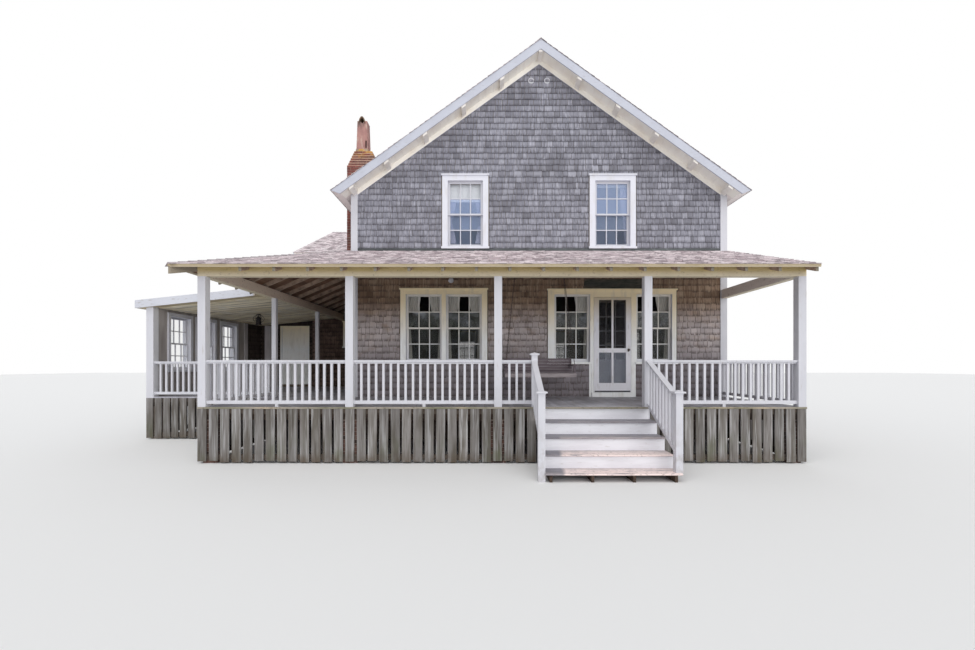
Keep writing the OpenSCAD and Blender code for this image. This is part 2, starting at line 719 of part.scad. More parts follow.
// Room for the beams in the rafters that lie over them
module beam_space() {
  block([porch_x, -porch_d, beam_z], [porch_right + 1, -porch_d + post_s, beam_top]);
  for (x = [porch_x, porch_right - post_s])
    block([x, -porch_d, beam_z], [x + post_s + (x > 0 ? 1 : 0), wing_y, beam_top]);
}
module porch_rafters() color(cream) difference() {
  union() {
    for (i = [0:front_rafters - 1]) {
      x = first_rafter + i * rafter_pitch;
      hip_y = porch_eave_y + (x - porch_eave_x) * hip_y_share / hip_x_share
        - jack_clear / hip_x_share - rafter_w * hip_y_share / hip_x_share / 2;
      if (x < -half_w) front_rafter(x, min(hip_y, 0)); else front_rafter(x, 0);
    }
    front_rafter(porch_end_x - rafter_w / 2 - 3, -trim_t);
    for (i = [0:side_rafters - 1]) {
      y = first_side_rafter + i * rafter_pitch;
      hip_x = porch_eave_x + (y - porch_eave_y) * hip_x_share / hip_y_share
        - jack_clear / hip_y_share - rafter_w * hip_x_share / hip_y_share / 2;
      if (y < wing_y - rafter_w) left_rafter(y, min(hip_x, -half_w));
    }
    intersection() {
      hip_prism(rafter_w / 2);
      along_x(porch_eave_x, porch_end_x) polygon([[hip_y0, porch_front_z(hip_y0) - porch_seat - hip_h],
        [hip_y1, porch_front_z(hip_y1) - porch_seat - hip_h], [hip_y1, porch_front_z(hip_y1) - porch_seat],
        [hip_y0, porch_front_z(hip_y0) - porch_seat]]);
      along_y(porch_eave_y, 0) polygon([[porch_eave_x, 0], [-half_w, 0],
        [-half_w, porch_left_z(-half_w) - porch_seat],
        [porch_eave_x, porch_left_z(porch_eave_x) - porch_seat]]);
    }
  }
  beam_space();
  chimney_shaft(0, far);
}

// Plans of the two slopes of the porch roof, which meet at the hip
module front_plan() linear_extrude(far) polygon([[porch_eave_x, porch_eave_y],
  [porch_end_x, porch_eave_y], [porch_end_x, 0], [-half_w, 0]]);
module left_plan() linear_extrude(far) polygon([[porch_eave_x, porch_eave_y],
  [-half_w, 0], [-half_w, wing_y], [porch_eave_x, wing_y]]);

// Sheet of one slope between two depths below its top, and two distances from its eave
module front_slope_sheet(y0, y1, up, down) along_x(porch_eave_x, porch_end_x)
  polygon([[y0, porch_front_z(y0) - down], [y1, porch_front_z(y1) - down],
    [y1, porch_front_z(y1) - up], [y0, porch_front_z(y0) - up]]);
module left_slope_sheet(x0, x1, y1, up, down) along_y(porch_eave_y, y1)
  polygon([[x0, porch_left_z(x0) - down], [x1, porch_left_z(x1) - down],
    [x1, porch_left_z(x1) - up], [x0, porch_left_z(x0) - up]]);
module porch_roof_front() color(roof_grey) intersection() {
  front_slope_sheet(porch_eave_y, 0, 0, porch_roof_t);
  front_plan();
}
module porch_roof_left() color(roof_grey) difference() {
  intersection() {
    left_slope_sheet(porch_eave_x, -half_w, wing_y, 0, porch_roof_t);
    left_plan();
  }
  chimney_shaft(0, far);
}

// Outer walls of the main house
module front_panel(x0, x1, z0, z1) color(shingle) difference() {
  intersection() {
    along_y(0, wall_t) under_roof_outline(half_w, foundation_h);
    block([x0, 0, z0], [x1, wall_t, z1]);
  }
  window_holes(front_windows);
}
module front_wall_left() front_panel(-half_w, jamb_left, foundation_h, split_z);
module front_wall_right() front_panel(jamb_right, half_w, foundation_h, split_z);
module front_wall_above() front_panel(-half_w, half_w, split_z, far);

// Side wall from its outer face inwards, with its top cut to the slope of the roof
module side_wall(side, y0, y1) {
  along_y(y0, y1) polygon([[side * half_w, foundation_h], [side * half_w, roof_under(half_w)],
    [side * (half_w - wall_t), roof_under(half_w - wall_t)], [side * (half_w - wall_t), foundation_h]]);
}
inner_door_w = 1000;
inner_door_h = 2100;
inner_door_y = wing_mid_y - inner_door_w / 2;
module left_wall() color(shingle) difference() {
  side_wall(-1, wall_t, house_d - wall_t);
  chimney_shaft(0, far);
  block([-half_w - 1, inner_door_y, floor_z],
    [-half_w + wall_t + 1, inner_door_y + inner_door_w, floor_z + inner_door_h]);
  window_holes(facing(-90));
}
module right_wall() color(shingle) difference() {
  side_wall(1, wall_t, house_d - wall_t);
  window_holes(facing(90));
}
// Wall across the wing, between two distances from the front, with its top cut under the roof
module wing_cross_wall(x1, y0, y1) difference() {
  along_x(wing_x, x1) polygon([[y0, foundation_h], [y1, foundation_h],
    [y1, wing_roof_z(y1) - wing_roof_t], [y0, wing_roof_z(y0) - wing_roof_t]]);
  along_y(y0 - 1, y1 + 1) slope_outline(-1, roof_t);
}
// Lower part of the same wall, under the roof of the garden room
module low_cross_wall(x0, y0, y1) along_y(y0, y1) polygon([[x0, foundation_h],
  [wing_x + wall_t, foundation_h], [wing_x + wall_t, garden_under(wing_x + wall_t)], [x0, garden_under(x0)]]);
module back_wall() color(shingle) difference() {
  union() {
    along_y(house_d - wall_t, house_d) under_roof_outline(half_w, foundation_h);
    wing_cross_wall(-half_w + wall_t, house_d - wall_t, house_d);
    low_cross_wall(garden_x, house_d - wall_t, house_d);
  }
  window_holes(facing(180));
}

// Floors between the walls, cut round the chimney
module floor_sheets(z) {
  block([-half_w + wall_t, wall_t, z - floor_t], [half_w - wall_t, house_d - wall_t, z]);
  block([wing_x + wall_t, wing_y + wall_t, z - floor_t], [-half_w, house_d - wall_t, z]);
}
module ground_floor() color(old_wood) difference() {
  union() {
    floor_sheets(floor_z);
    block([garden_x + wall_t, wing_y + wall_t, floor_z - floor_t], [wing_x, house_d - wall_t, floor_z]);
  }
  chimney_shaft(0, far);
}
module upper_floor() color(old_wood) difference() {
  floor_sheets(upper_z);
  chimney_shaft(0, far);
}

// The two slopes of the main roof
module main_roof_left() color(roof_grey) difference() {
  along_y(trim_t - rake_over, house_d + rake_over - trim_t) slope_outline(-1, roof_t);
  chimney_shaft(0, far);
}
module main_roof_right() color(roof_grey)
  along_y(trim_t - rake_over, house_d + rake_over - trim_t) slope_outline(1, roof_t);

// Rake boards at the edges of the gables, and frieze boards on the walls under them
module frieze(y0, y1) {
  x = half_w - corner_w + trim_t;
  along_y(y0, y1) polygon([[-x, roof_under(x)], [0, roof_under(0)], [x, roof_under(x)],
    [x, roof_under(x) - frieze_h], [0, roof_under(0) - frieze_h], [-x, roof_under(x) - frieze_h]]);
}
wing_rake_x = wing_x - wing_over;
module rake_trim() color(white) {
  for (y = [-rake_over, house_d + rake_over - trim_t]) along_y(y, y + trim_t) {
    slope_outline(-1, rake_h);
    slope_outline(1, rake_h);
  }
  frieze(-trim_t, 0);
  frieze(house_d, house_d + trim_t);
  along_x(wing_rake_x - trim_t, wing_rake_x) wing_roof_outline(wing_roof_t + 30);
}

// Blocks that carry the overhang of the gables, under the roof in front of the walls
module outlooker(x, y0, y1) {
  half = outlooker_s / 2;
  along_y(y0, y1) polygon(x == 0
    ? [[-half, roof_under(half)], [0, roof_under(0)], [half, roof_under(half)],
       [half, roof_under(0) - outlooker_s], [-half, roof_under(0) - outlooker_s]]
    : [[x - half, roof_under(x - half)], [x + half, roof_under(x + half)],
       [x + half, roof_under(x + half) - outlooker_s], [x - half, roof_under(x - half) - outlooker_s]]);
}
module roof_outlookers() color(white)
  for (span = [[trim_t - rake_over, -trim_t], [house_d + trim_t, house_d + rake_over - trim_t]]) {
    for (i = [-4:4]) outlooker(i * outlooker_pitch, span[0], span[1]);
    for (s = [-1, 1]) outlooker(s * (half_w - outlooker_s), span[0], span[1]);
  }

// Boards round the corners of the main house, drawn as an angle and cut under the roof
module corner_board(x, y, sx, sy) {
  translate([x, y, 0]) scale([sx, sy, 1]) linear_extrude(far)
    polygon([[-trim_t, -trim_t], [corner_w - trim_t, -trim_t], [corner_w - trim_t, 0], [0, 0],
      [0, corner_w - trim_t], [-trim_t, corner_w - trim_t]]);
}
module corner_boards() color(white) difference() {
  intersection() {
    union() {
      for (s = [-1, 1]) corner_board(s * half_w, 0, -s, 1);
      corner_board(half_w, house_d, -1, -1);
    }
    along_y(-far, far) under_roof_outline(half_w + trim_t, foundation_h);
  }
  block([half_w - corner_w, -far, 0], [half_w + corner_w, 0, deck_z]);
  block([-half_w - corner_w, -far, 0], [-half_w + corner_w, corner_w, deck_z]);
  block([half_w - corner_w, -far, porch_top - 150], [half_w + corner_w, 0, porch_top]);
  block([-half_w - corner_w, -far, porch_top - 150], [-half_w + corner_w, corner_w, porch_top]);
}

// Chimney with a stepped shoulder
shoulder_courses = 6;
module chimney() color(brick) {
  chimney_shaft(0, shoulder_z);
  for (i = [1:shoulder_courses]) {
    share = i / shoulder_courses;
    w = chimney_w - (chimney_w - neck_w) * share;
    l = chimney_l - (chimney_l - neck_w) * share;
    z = shoulder_z + shoulder_h * (i - 1) / shoulder_courses;
    block([chimney_x - w / 2, chimney_mid_y - l / 2, z],
      [chimney_x + w / 2, chimney_mid_y + l / 2, z + shoulder_h / shoulder_courses]);
  }
  crown_foot = neck_w - 120;
  translate([chimney_x - flue_in, chimney_mid_y, flue_z - crown_h - 5]) intersection() {
    along_y(-neck_w, neck_w) flue_outline(crown_foot, flue_w + 20, crown_h + 5);
    along_x(-neck_w, neck_w) flue_outline(crown_foot, flue_w + 20, crown_h + 5);
  }
}

// Square clay flue on a mortar crown, a little narrower at its broken, pointed top
crown_h = 90;
flue_in = 50;
flue_wall = 35;
flue_top_w = flue_w - 40;
flue_slot = [flue_w / 2 - 62, flue_w / 2 - 28];
flue_peak = 90;
flue_notch = 60;
module flue_outline(foot, top, h) { polygon([[-foot / 2, 0], [foot / 2, 0], [top / 2, h], [-top / 2, h]]); }
flue_z = shoulder_z + shoulder_h + crown_h;
module chimney_flue() color(clay) translate([chimney_x - flue_in, chimney_mid_y, flue_z]) difference() {
  union() {
    intersection() {
      along_y(-flue_w, flue_w) flue_outline(flue_w, flue_top_w, flue_h);
      along_x(-flue_w, flue_w) flue_outline(flue_w, flue_top_w, flue_h);
    }
    along_y(flue_top_w / 2 - flue_wall, flue_top_w / 2)
      polygon([[-flue_top_w / 4, flue_h], [flue_top_w / 4, flue_h], [0, flue_h + flue_peak]]);
  }
  translate([0, 0, -1]) intersection() {
    along_y(-flue_w, flue_w) flue_outline(flue_w - 2 * flue_wall, flue_top_w - 2 * flue_wall, flue_h + 2);
    along_x(-flue_w, flue_w) flue_outline(flue_w - 2 * flue_wall, flue_top_w - 2 * flue_wall, flue_h + 2);
  }
  along_y(-flue_w, 0) polygon([[-flue_top_w / 4, flue_h + 1], [0, flue_h - flue_notch],
    [flue_top_w / 4, flue_h + 1]]);
  block([flue_slot[0], -flue_w, 30], [flue_slot[1], 0, 220]);
}

// Face boards of all windows apart from the door group
plain_case_w = 100;
plain_head = 110;
garden_head = 60;
module window_casings() color(white) {
  for (w = [front_windows[0], front_windows[1]]) put(w) window_case(w[4], w[5], casing_w, head_board);
  translate([-pair_x, 0, ground_win_z]) pair_case();
  for (w = side_windows) put(w)
    window_case(w[4], w[5], plain_case_w, w[0] == garden_x ? garden_head : plain_head);
  for (w = side_windows) if (w[0] == garden_x) put(w) difference() {
    block([-w[4] / 2 - 85, wall_t, -sill_h], [w[4] / 2 + 85, wall_t + casing_t, w[5] + 85]);
    block([-w[4] / 2, wall_t - 1, 0], [w[4] / 2, wall_t + casing_t + 1, w[5]]);
  }
}
module pair_liner() block([-ground_win_w / 2 - liner_t, 0, -liner_t],
  [ground_win_w / 2 + liner_t, wall_t, ground_win_h + liner_t]);
// Two windows side by side in one case
module pair_case() {
  difference() {
    union() {
      block([-pair_off - ground_win_w / 2 - casing_w, -casing_t, -sill_h],
        [pair_off + ground_win_w / 2 + casing_w, 0, ground_win_h + ground_head]);
      for (s = [-1, 1]) translate([s * pair_off, 0, 0])
        pair_liner();
    }
    for (s = [-1, 1]) translate([s * pair_off, 0, 0])
      block([-ground_win_w / 2, -casing_t - 1, 0], [ground_win_w / 2, wall_t + 1, ground_win_h]);
  }
  reach = pair_off + ground_win_w / 2 + casing_w + liner_t;
  block([-reach, -sill_out, -sill_h], [reach, -casing_t, 0]);
  block([-reach, -sill_out, ground_win_h + ground_head], [reach, 0, ground_win_h + ground_head + cap_h]);
}

// Face boards round the door and the windows on each side of it
surround_left = left_light_x - ground_win_w / 2 - casing_w - 20;
surround_right = right_light_x + ground_win_w / 2 + casing_w - 30;
module door_surround() color(white) difference() {
  union() {
    block([surround_left, -casing_t, ground_win_z - sill_h], [surround_right, 0, casing_top]);
    block([jamb_left, -casing_t, sill_z], [jamb_right, 0, casing_top]);
    for (x = [left_light_x, right_light_x]) translate([x, 0, ground_win_z])
      pair_liner();
    block([surround_left - liner_t, -sill_out, ground_win_z - sill_h],
      [left_light_x + ground_win_w / 2 + liner_t, -casing_t, ground_win_z]);
    block([right_light_x - ground_win_w / 2 - liner_t, -sill_out, ground_win_z - sill_h],
      [surround_right + liner_t, -casing_t, ground_win_z]);
    block([surround_left - liner_t, -sill_out, casing_top],
      [surround_right + liner_t, 0, casing_top + cap_h]);
  }
  for (x = [left_light_x, right_light_x]) translate([x, 0, ground_win_z])
    block([-ground_win_w / 2, -far, 0], [ground_win_w / 2, wall_t + 1, ground_win_h]);
  block([jamb_left + jamb_w, -far, 0], [jamb_right - jamb_w, 1, head_z]);
}

module front_sashes() color(white) for (w = front_windows) put(w) sash_pair(w[4], w[5]);
module side_sashes() color(white) for (w = side_windows) put(w) sash_pair(w[4], w[5]);
module window_glass() color(pane)
  for (w = concat(front_windows, side_windows)) put(w) sash_glass(w[4], w[5]);

// Jambs, head and sill of the doorway, with a stop between the two doors
stop_w = 14;
stop_y0 = 20;
door_leaf_t = 45;
stop_y1 = wall_t - door_leaf_t - leaf_gap;
module door_frame() color(white) {
  difference() {
    block([jamb_left, 0, foundation_h], [jamb_right, wall_t, split_z]);
    block([jamb_left + jamb_w, -1, sill_z], [jamb_right - jamb_w, wall_t + 1, head_z]);
  }
  block([jamb_left, -sill_out, deck_z], [jamb_right, 0, sill_z]);
  for (x = [jamb_left + jamb_w, jamb_right - jamb_w - stop_w])
    block([x, stop_y0, sill_z], [x + stop_w, stop_y1, head_z]);
}

// Outer screen door: a frame with four openings, hinged on its left edge
screen_t = 30;
screen_stile = 112;
screen_bar = 44;
screen_top = 60;
screen_foot = 205;
screen_lock_z = 890;
screen_lock_h = 97;
screen_col = (door_w - 2 * screen_stile - screen_bar) / 2;
screen_lows = [screen_foot, screen_lock_z + screen_lock_h];
screen_highs = [screen_lock_z, door_h - screen_top];
module screen_openings(y0, y1) {
  for (x = [screen_stile, screen_stile + screen_col + screen_bar], i = [0, 1])
    block([x, y0, screen_lows[i]], [x + screen_col, y1, screen_highs[i]]);
}
// Butt hinges of a leaf: round barrels on its turning line, and their plates on its face
barrel_r = 5.5;
barrel_out = 6;
hinge_h = 90;
hinge_reach = 32;
hinge_t = 3.5;
module leaf_hinges(face)
  for (z = [210, 0.5 * door_h, door_h - 233]) translate([-leaf_gap, 0, z - hinge_h / 2]) {
    translate([0, face * barrel_out, 0]) cylinder(r = barrel_r, h = hinge_h, $fn = 32);
    block([0, face < 0 ? -hinge_t : 0, 0], [leaf_gap + hinge_reach, face > 0 ? hinge_t : 0, hinge_h]);
  }
module screen_door() color(white) translate([leaf_left, -casing_t, leaf_z]) {
  difference() {
    block([0, 0, 0], [door_w, screen_t, door_h]);
    screen_openings(-1, screen_t + 1);
  }
  leaf_hinges(-1);
}
screen_mesh_t = 4;
module screen_panes() color(iron) translate([leaf_left, -casing_t, leaf_z])
  screen_openings(screen_t / 2 - screen_mesh_t / 2, screen_t / 2 + screen_mesh_t / 2);

// Round knobs on both faces of a leaf, turned as one profile
knob_r = 26;
knob_z = 950;
module knob_side(len) {
  rotate_extrude($fn = 32) polygon([[0, 0], [22, 0], [22, 5], [9, 8], [9, len - 22],
    [knob_r - 4, len - 18], [knob_r, len - 10], [knob_r - 6, len - 2], [0, len]]);
}
knob_x = leaf_right - screen_stile / 2;
module screen_knob() color(iron) translate([knob_x, -casing_t, leaf_z + knob_z]) {
  rotate([90, 0, 0]) knob_side(55);
  translate([0, screen_t, 0]) rotate([-90, 0, 0]) knob_side(36);
}

// Inner front door: glazed above a solid lower part, hinged on its left edge
door_stile = 100;
door_glass_z = 735;
module front_door() color(white) translate([leaf_left, wall_t - door_leaf_t, leaf_z]) {
  difference() {
    block([0, 0, 0], [door_w, door_leaf_t, door_h]);
    block([door_stile, -1, door_glass_z], [door_w - door_stile, door_leaf_t + 1, door_h - door_stile]);
    for (y = [-1, door_leaf_t - 12])
      block([door_stile, y, 180], [door_w - door_stile, y + 13, door_glass_z - door_stile]);
  }
  translate([0, door_leaf_t, 0]) leaf_hinges(1);
}
module front_door_glass() color(pane) translate([leaf_left, wall_t - door_leaf_t, leaf_z])
  block([door_stile, door_leaf_t / 2 - glass_t / 2, door_glass_z],
    [door_w - door_stile, door_leaf_t / 2 + glass_t / 2, door_h - door_stile]);
module front_door_knob() color(iron)
  translate([leaf_right - door_stile / 2, wall_t - door_leaf_t, leaf_z + knob_z]) {
  rotate([90, 0, 0]) knob_side(50);
  translate([0, door_leaf_t, 0]) rotate([-90, 0, 0]) knob_side(55);
}

// Cross beam under the rafters with a pin for each end of the swing
pin_r = 6;
cheek_t = 8;
cheek_gap = 22;
pin_drop = 30;
swing_beam_t = 38;
swing_beam_w = 90;
swing_beam_over = 120;
function rafter_under(y) = porch_front_z(y) - porch_seat - rafter_h - contact;
swing_beam_y = -swing_y - swing_beam_w / 2;
swing_beam_z = rafter_under(swing_beam_y) - swing_beam_t;
pin_z = swing_beam_z - pin_drop;
module swing_beam() color(old_wood) {
  along_x(-swing_x - bench_w / 2 - swing_beam_over, -swing_x + bench_w / 2 + swing_beam_over)
    polygon([[swing_beam_y, swing_beam_z], [swing_beam_y + swing_beam_w, swing_beam_z],
      [swing_beam_y + swing_beam_w, rafter_under(swing_beam_y + swing_beam_w)],
      [swing_beam_y, rafter_under(swing_beam_y)]]);
  for (s = [-1, 1]) translate([-swing_x + s * hook_span / 2, -swing_y, pin_z]) {
    for (e = [-1, 1]) translate([e * (cheek_gap + cheek_t) / 2, 0, 0])
      block([-cheek_t / 2, -15, -12], [cheek_t / 2, 15, pin_drop]);
    rotate([0, 90, 0]) cylinder(r = pin_r, h = cheek_gap + 2 * cheek_t, center = true, $fn = 32);
  }
}

// Chains from an eye on each pin down to the front and the back of the bench
chain_r = 5;
eye_r = 15;
eye_bore = 6.3;
eye_w = 10;
seat_z = deck_z + seat_up;
seat_d = 500;
seat_front = -swing_y - 230;
arm_z = seat_z + 166;
arm_t = 26;
arm_w = 70;
chain_feet = [-180, 210];
module rod(a, b, r) {
  d = b - a;
  translate(a) rotate([0, acos(d[2] / norm(d)), atan2(d[1], d[0])]) cylinder(r = r, h = norm(d), $fn = 16);
}
module swing_chains() color(iron)
  for (s = [-1, 1]) {
    top = [-swing_x + s * hook_span / 2, -swing_y, pin_z];
    foot_x = -swing_x + s * (bench_w / 2 - arm_w / 2);
    difference() {
      union() {
        translate(top) rotate([0, 90, 0]) cylinder(r = eye_r, h = eye_w, center = true, $fn = 32);
        for (dy = chain_feet)
          rod(top + [0, sign(dy) * 7, -11], [foot_x, -swing_y + dy, arm_z - arm_t / 2], chain_r);
      }
      translate(top) rotate([0, 90, 0]) cylinder(r = eye_bore, h = eye_w + 2, center = true, $fn = 32);
      block([foot_x - arm_w, -swing_y - 400, arm_z - far], [foot_x + arm_w, -swing_y + 400, arm_z]);
    }
  }

// Slatted bench: end frames, seat slats on two rails, and a leaning back
slat_t = 18;
seat_slats = 7;
back_slats = 5;
back_lean = 0.22;
back_h = 300;
end_w = 38;
seat_back = seat_front + seat_d;
module swing_bench() color(weathered) translate([-swing_x, 0, 0]) {
  half = bench_w / 2;
  for (s = [-1, 1]) {
    x0 = s > 0 ? half - arm_w / 2 - end_w / 2 : -half + arm_w / 2 - end_w / 2;
    block([x0, seat_front, seat_z - slat_t - 60], [x0 + end_w, seat_front + seat_d, seat_z - slat_t]);
    block([x0, seat_front + 20, seat_z - slat_t], [x0 + end_w, seat_front + 20 + end_w, arm_z - arm_t]);
    along_x(x0, x0 + end_w) polygon([[seat_back - 50, seat_z - 60], [seat_back, seat_z - 60],
      [seat_back + back_lean * back_h, seat_z + back_h],
      [seat_back + back_lean * back_h - 40, seat_z + back_h]]);
    block([x0 + end_w / 2 - arm_w / 2, seat_front - 10, arm_z - arm_t],
      [x0 + end_w / 2 + arm_w / 2, seat_front + seat_d + back_lean * (arm_z - seat_z) - 20, arm_z]);
  }
  for (i = [0:seat_slats - 1]) {
    y = seat_front + i * (seat_d - 110) / (seat_slats - 1);
    block([-half + 10, y, seat_z - slat_t], [half - 10, y + 52, seat_z]);
  }
  block([-half + 10, seat_front - slat_t, seat_z - slat_t - 62], [half - 10, seat_front, seat_z]);
  for (i = [0:back_slats - 1]) {
    z = seat_z + 25 + i * (back_h - 70) / (back_slats - 1);
    y = seat_front + seat_d - 42 + back_lean * (z - seat_z + 26);
    block([-half + 10, y - slat_t, z], [half - 10, y, z + 40]);
  }
}

// Two small round vents under the peak of the gable
vent_r = 65;
vent_bore = 48;
vent_x = 180;
vent_z = roof_under(0) - 490;
module gable_vents() color(white)
  for (s = [-1, 1]) translate([s * vent_x, 0, vent_z]) rotate([90, 0, 0]) difference() {
    cylinder(r = vent_r, h = 18, $fn = 48);
    translate([0, 0, 6]) cylinder(r = vent_bore, h = 18, $fn = 48);
  }

// Plain board with pointed ends, standing on the cap over the door
board_w = 1410;
board_h = 220;
board_t = 20;
board_x = door_x + 63;
board_point = 45;
module name_board() color([0.14, 0.17, 0.15]) translate([board_x, 0, casing_top + cap_h]) {
  half = board_w / 2;
  along_y(-board_t, 0) polygon([[-half, board_h / 2], [board_point - half, 0], [half - board_point, 0],
    [half, board_h / 2], [half - board_point, board_h], [board_point - half, board_h]]);
}

// Small domed light on the wall over the window pair
dome_r = 62;
module porch_light() color(white) translate([-pair_x + 160, 0, casing_top + cap_h + 195]) rotate([90, 0, 0])
  intersection() {
    union() {
      cylinder(r = dome_r, h = 14, $fn = 40);
      translate([0, 0, 14]) sphere(r = dome_r - 8, $fn = 40);
    }
    cylinder(r = dome_r, h = far, $fn = 40);
  }

// Hanging lantern under the garden room's ceiling
lantern_in = 1290;
lantern_x = garden_x + lantern_in;
lantern_y = side_bay - 100;
lantern_drop = 300;
lantern_z = garden_under(lantern_x) - lantern_drop;
lantern_r = 70;
lantern_rod = lantern_drop - 10;
module lantern() color(iron) translate([lantern_x, lantern_y, 0]) {
  plate = 40;
  along_y(-plate, plate) polygon([[-plate, garden_under(lantern_x - plate)],
    [plate, garden_under(lantern_x + plate)], [plate, garden_under(lantern_x) - plate / 2],
    [-plate, garden_under(lantern_x) - plate / 2]]);
  translate([0, 0, lantern_z]) rotate_extrude($fn = 32)
    polygon([[0, 0], [lantern_r, 0], [lantern_r, 25], [lantern_r - 12, 25], [lantern_r - 12, 160],
      [lantern_r + 10, 160], [lantern_r - 20, 205], [18, 220], [18, 240], [5, 260],
      [5, lantern_rod], [0, lantern_rod]]);
}

// Left wall of the garden room and of the low room behind it
module garden_wall() color(shingle) difference() {
  for (part = [[garden_post_s, wing_y, deck_z], [wing_y, house_d - wall_t, foundation_h]])
    along_y(part[0], part[1]) polygon([[garden_x, part[2]], [garden_x + wall_t, part[2]],
      [garden_x + wall_t, garden_under(garden_x + wall_t)], [garden_x, garden_under(garden_x)]]);
  window_holes(facing(-90));
}

// Low roof over the garden room, running in under the eave of the porch roof
garden_back_y = house_d + 100;
garden_slab_x = garden_eave_x + trim_t;
module garden_slab(x1, y0, y1) along_y(y0, y1)
  polygon([[garden_slab_x, garden_z(garden_slab_x) - garden_roof_t], [x1, garden_z(x1) - garden_roof_t],
    [x1, garden_z(x1)], [garden_slab_x, garden_z(garden_slab_x)]]);
module garden_roof() color(roof_grey) difference() {
  union() {
    garden_slab(porch_x, garden_front_y, wing_y);
    garden_slab(wing_x, wing_y, garden_back_y);
  }
  left_slope_sheet(porch_eave_x, -half_w, wing_y, 0, porch_roof_t);
}

// Fascias of the garden room's roof, and the light boards under the eaves of the porch
eave_board_w = 45;
eave_board_t = 18;
eave_in = 5;
module eave_trim() color(white) {
  fascia_end = porch_eave_x - 5;
  fascia_z = garden_z(garden_eave_x) + fascia_up;
  along_y(garden_front_y - trim_t, garden_front_y) polygon([[garden_eave_x, garden_under(garden_eave_x)],
    [fascia_end, garden_under(fascia_end)], [fascia_end, garden_z(fascia_end) + fascia_up],
    [garden_eave_x, fascia_z]]);
  along_y(garden_front_y, garden_back_y) polygon([[garden_eave_x, garden_under(garden_eave_x)],
    [garden_slab_x, garden_under(garden_slab_x)], [garden_slab_x, fascia_z], [garden_eave_x, fascia_z]]);
  difference() {
    union() {
      intersection() {
        front_slope_sheet(porch_eave_y + eave_in, porch_eave_y + eave_in + eave_board_w,
          porch_seat, porch_seat + eave_board_t);
        front_plan();
      }
      intersection() {
        left_slope_sheet(porch_eave_x + eave_in, porch_eave_x + eave_in + eave_board_w,
          garden_front_y - trim_t - 3, porch_seat, porch_seat + eave_board_t);
        left_plan();
      }
    }
    hip_prism(rafter_w / 2);
  }
}

// Roof of the wing: both slopes run into the left slope of the main roof
module wing_roof_outline(t) {
  y0 = wing_y - wing_over;
  y1 = house_d + wing_over;
  polygon([[y0, wing_roof_z(y0)], [wing_mid_y, wing_ridge_z], [y1, wing_roof_z(y1)],
    [y1, wing_roof_z(y1) - t], [wing_mid_y, wing_ridge_z - t], [y0, wing_roof_z(y0) - t]]);
}
module wing_roof() color(roof_grey) difference() {
  along_x(wing_rake_x, -trim_t) wing_roof_outline(wing_roof_t);
  along_y(0, house_d + rake_over - trim_t) slope_outline(-1, roof_t);
  along_y(house_d + rake_over - trim_t, house_d + 2 * wing_over) slope_outline(-1, rake_h);
  along_y(0, house_d + 2 * wing_over)
    polygon([[-half_w, 0], [0, 0], [0, roof_top(0) + 1], [-half_w, roof_top(half_w)]]);
}

// Front wall of the wing, with its lower part across the garden room
garden_door_w = 970;
garden_door_h = 1950;
garden_door_x = wing_x - 1080;
module wing_front_wall() color(shingle) difference() {
  union() {
    wing_cross_wall(-half_w, wing_y, wing_y + wall_t);
    low_cross_wall(garden_x + wall_t, wing_y, wing_y + wall_t);
  }
  window_holes(facing(0));
  block([garden_door_x, wing_y - 1, floor_z],
    [garden_door_x + garden_door_w, wing_y + wall_t + 1, floor_z + garden_door_h]);
}

module wing_gable_wall() color(shingle) difference() {
  y0 = wing_y + wall_t;
  y1 = house_d - wall_t;
  along_x(wing_x, wing_x + wall_t) polygon([[y0, foundation_h], [y1, foundation_h],
    [y1, wing_roof_z(y1) - wing_roof_t], [wing_mid_y, wing_ridge_z - wing_roof_t],
    [y0, wing_roof_z(y0) - wing_roof_t]]);
  window_holes(facing(-90));
}

// Plain door between the garden room and the low room behind it
garden_frame_w = 45;
module garden_door() color(white) translate([garden_door_x, wing_y, floor_z]) {
  difference() {
    block([0, 0, 0], [garden_door_w, wall_t, garden_door_h]);
    block([garden_frame_w, -1, garden_frame_w],
      [garden_door_w - garden_frame_w, wall_t + 1, garden_door_h - garden_frame_w]);
  }
  block([garden_frame_w, 50, garden_frame_w],
    [garden_door_w - garden_frame_w, 95, garden_door_h - garden_frame_w]);
}

foundation();
deck_frame();
deck();
skirt_front();
skirt_sides();
stair_stringers();
stair_treads();
stair_risers();
newels();
stair_rails();
porch_posts();
beam_front();
beam_sides();
railings_front();
railings_side();
porch_rafters();
porch_roof_front();
porch_roof_left();
front_wall_left();
front_wall_right();
front_wall_above();
left_wall();
right_wall();
back_wall();
ground_floor();
upper_floor();
main_roof_left();
main_roof_right();
rake_trim();
roof_outlookers();
corner_boards();
chimney();
chimney_flue();
window_casings();
door_surround();
front_sashes();
side_sashes();
window_glass();
door_frame();
screen_door();
screen_panes();
screen_knob();
front_door();
front_door_glass();
front_door_knob();
swing_beam();
swing_chains();
swing_bench();
gable_vents();
name_board();
porch_light();
lantern();
garden_wall();
garden_roof();
eave_trim();
wing_front_wall();
wing_gable_wall();
wing_roof();
garden_door();
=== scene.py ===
import math
import random

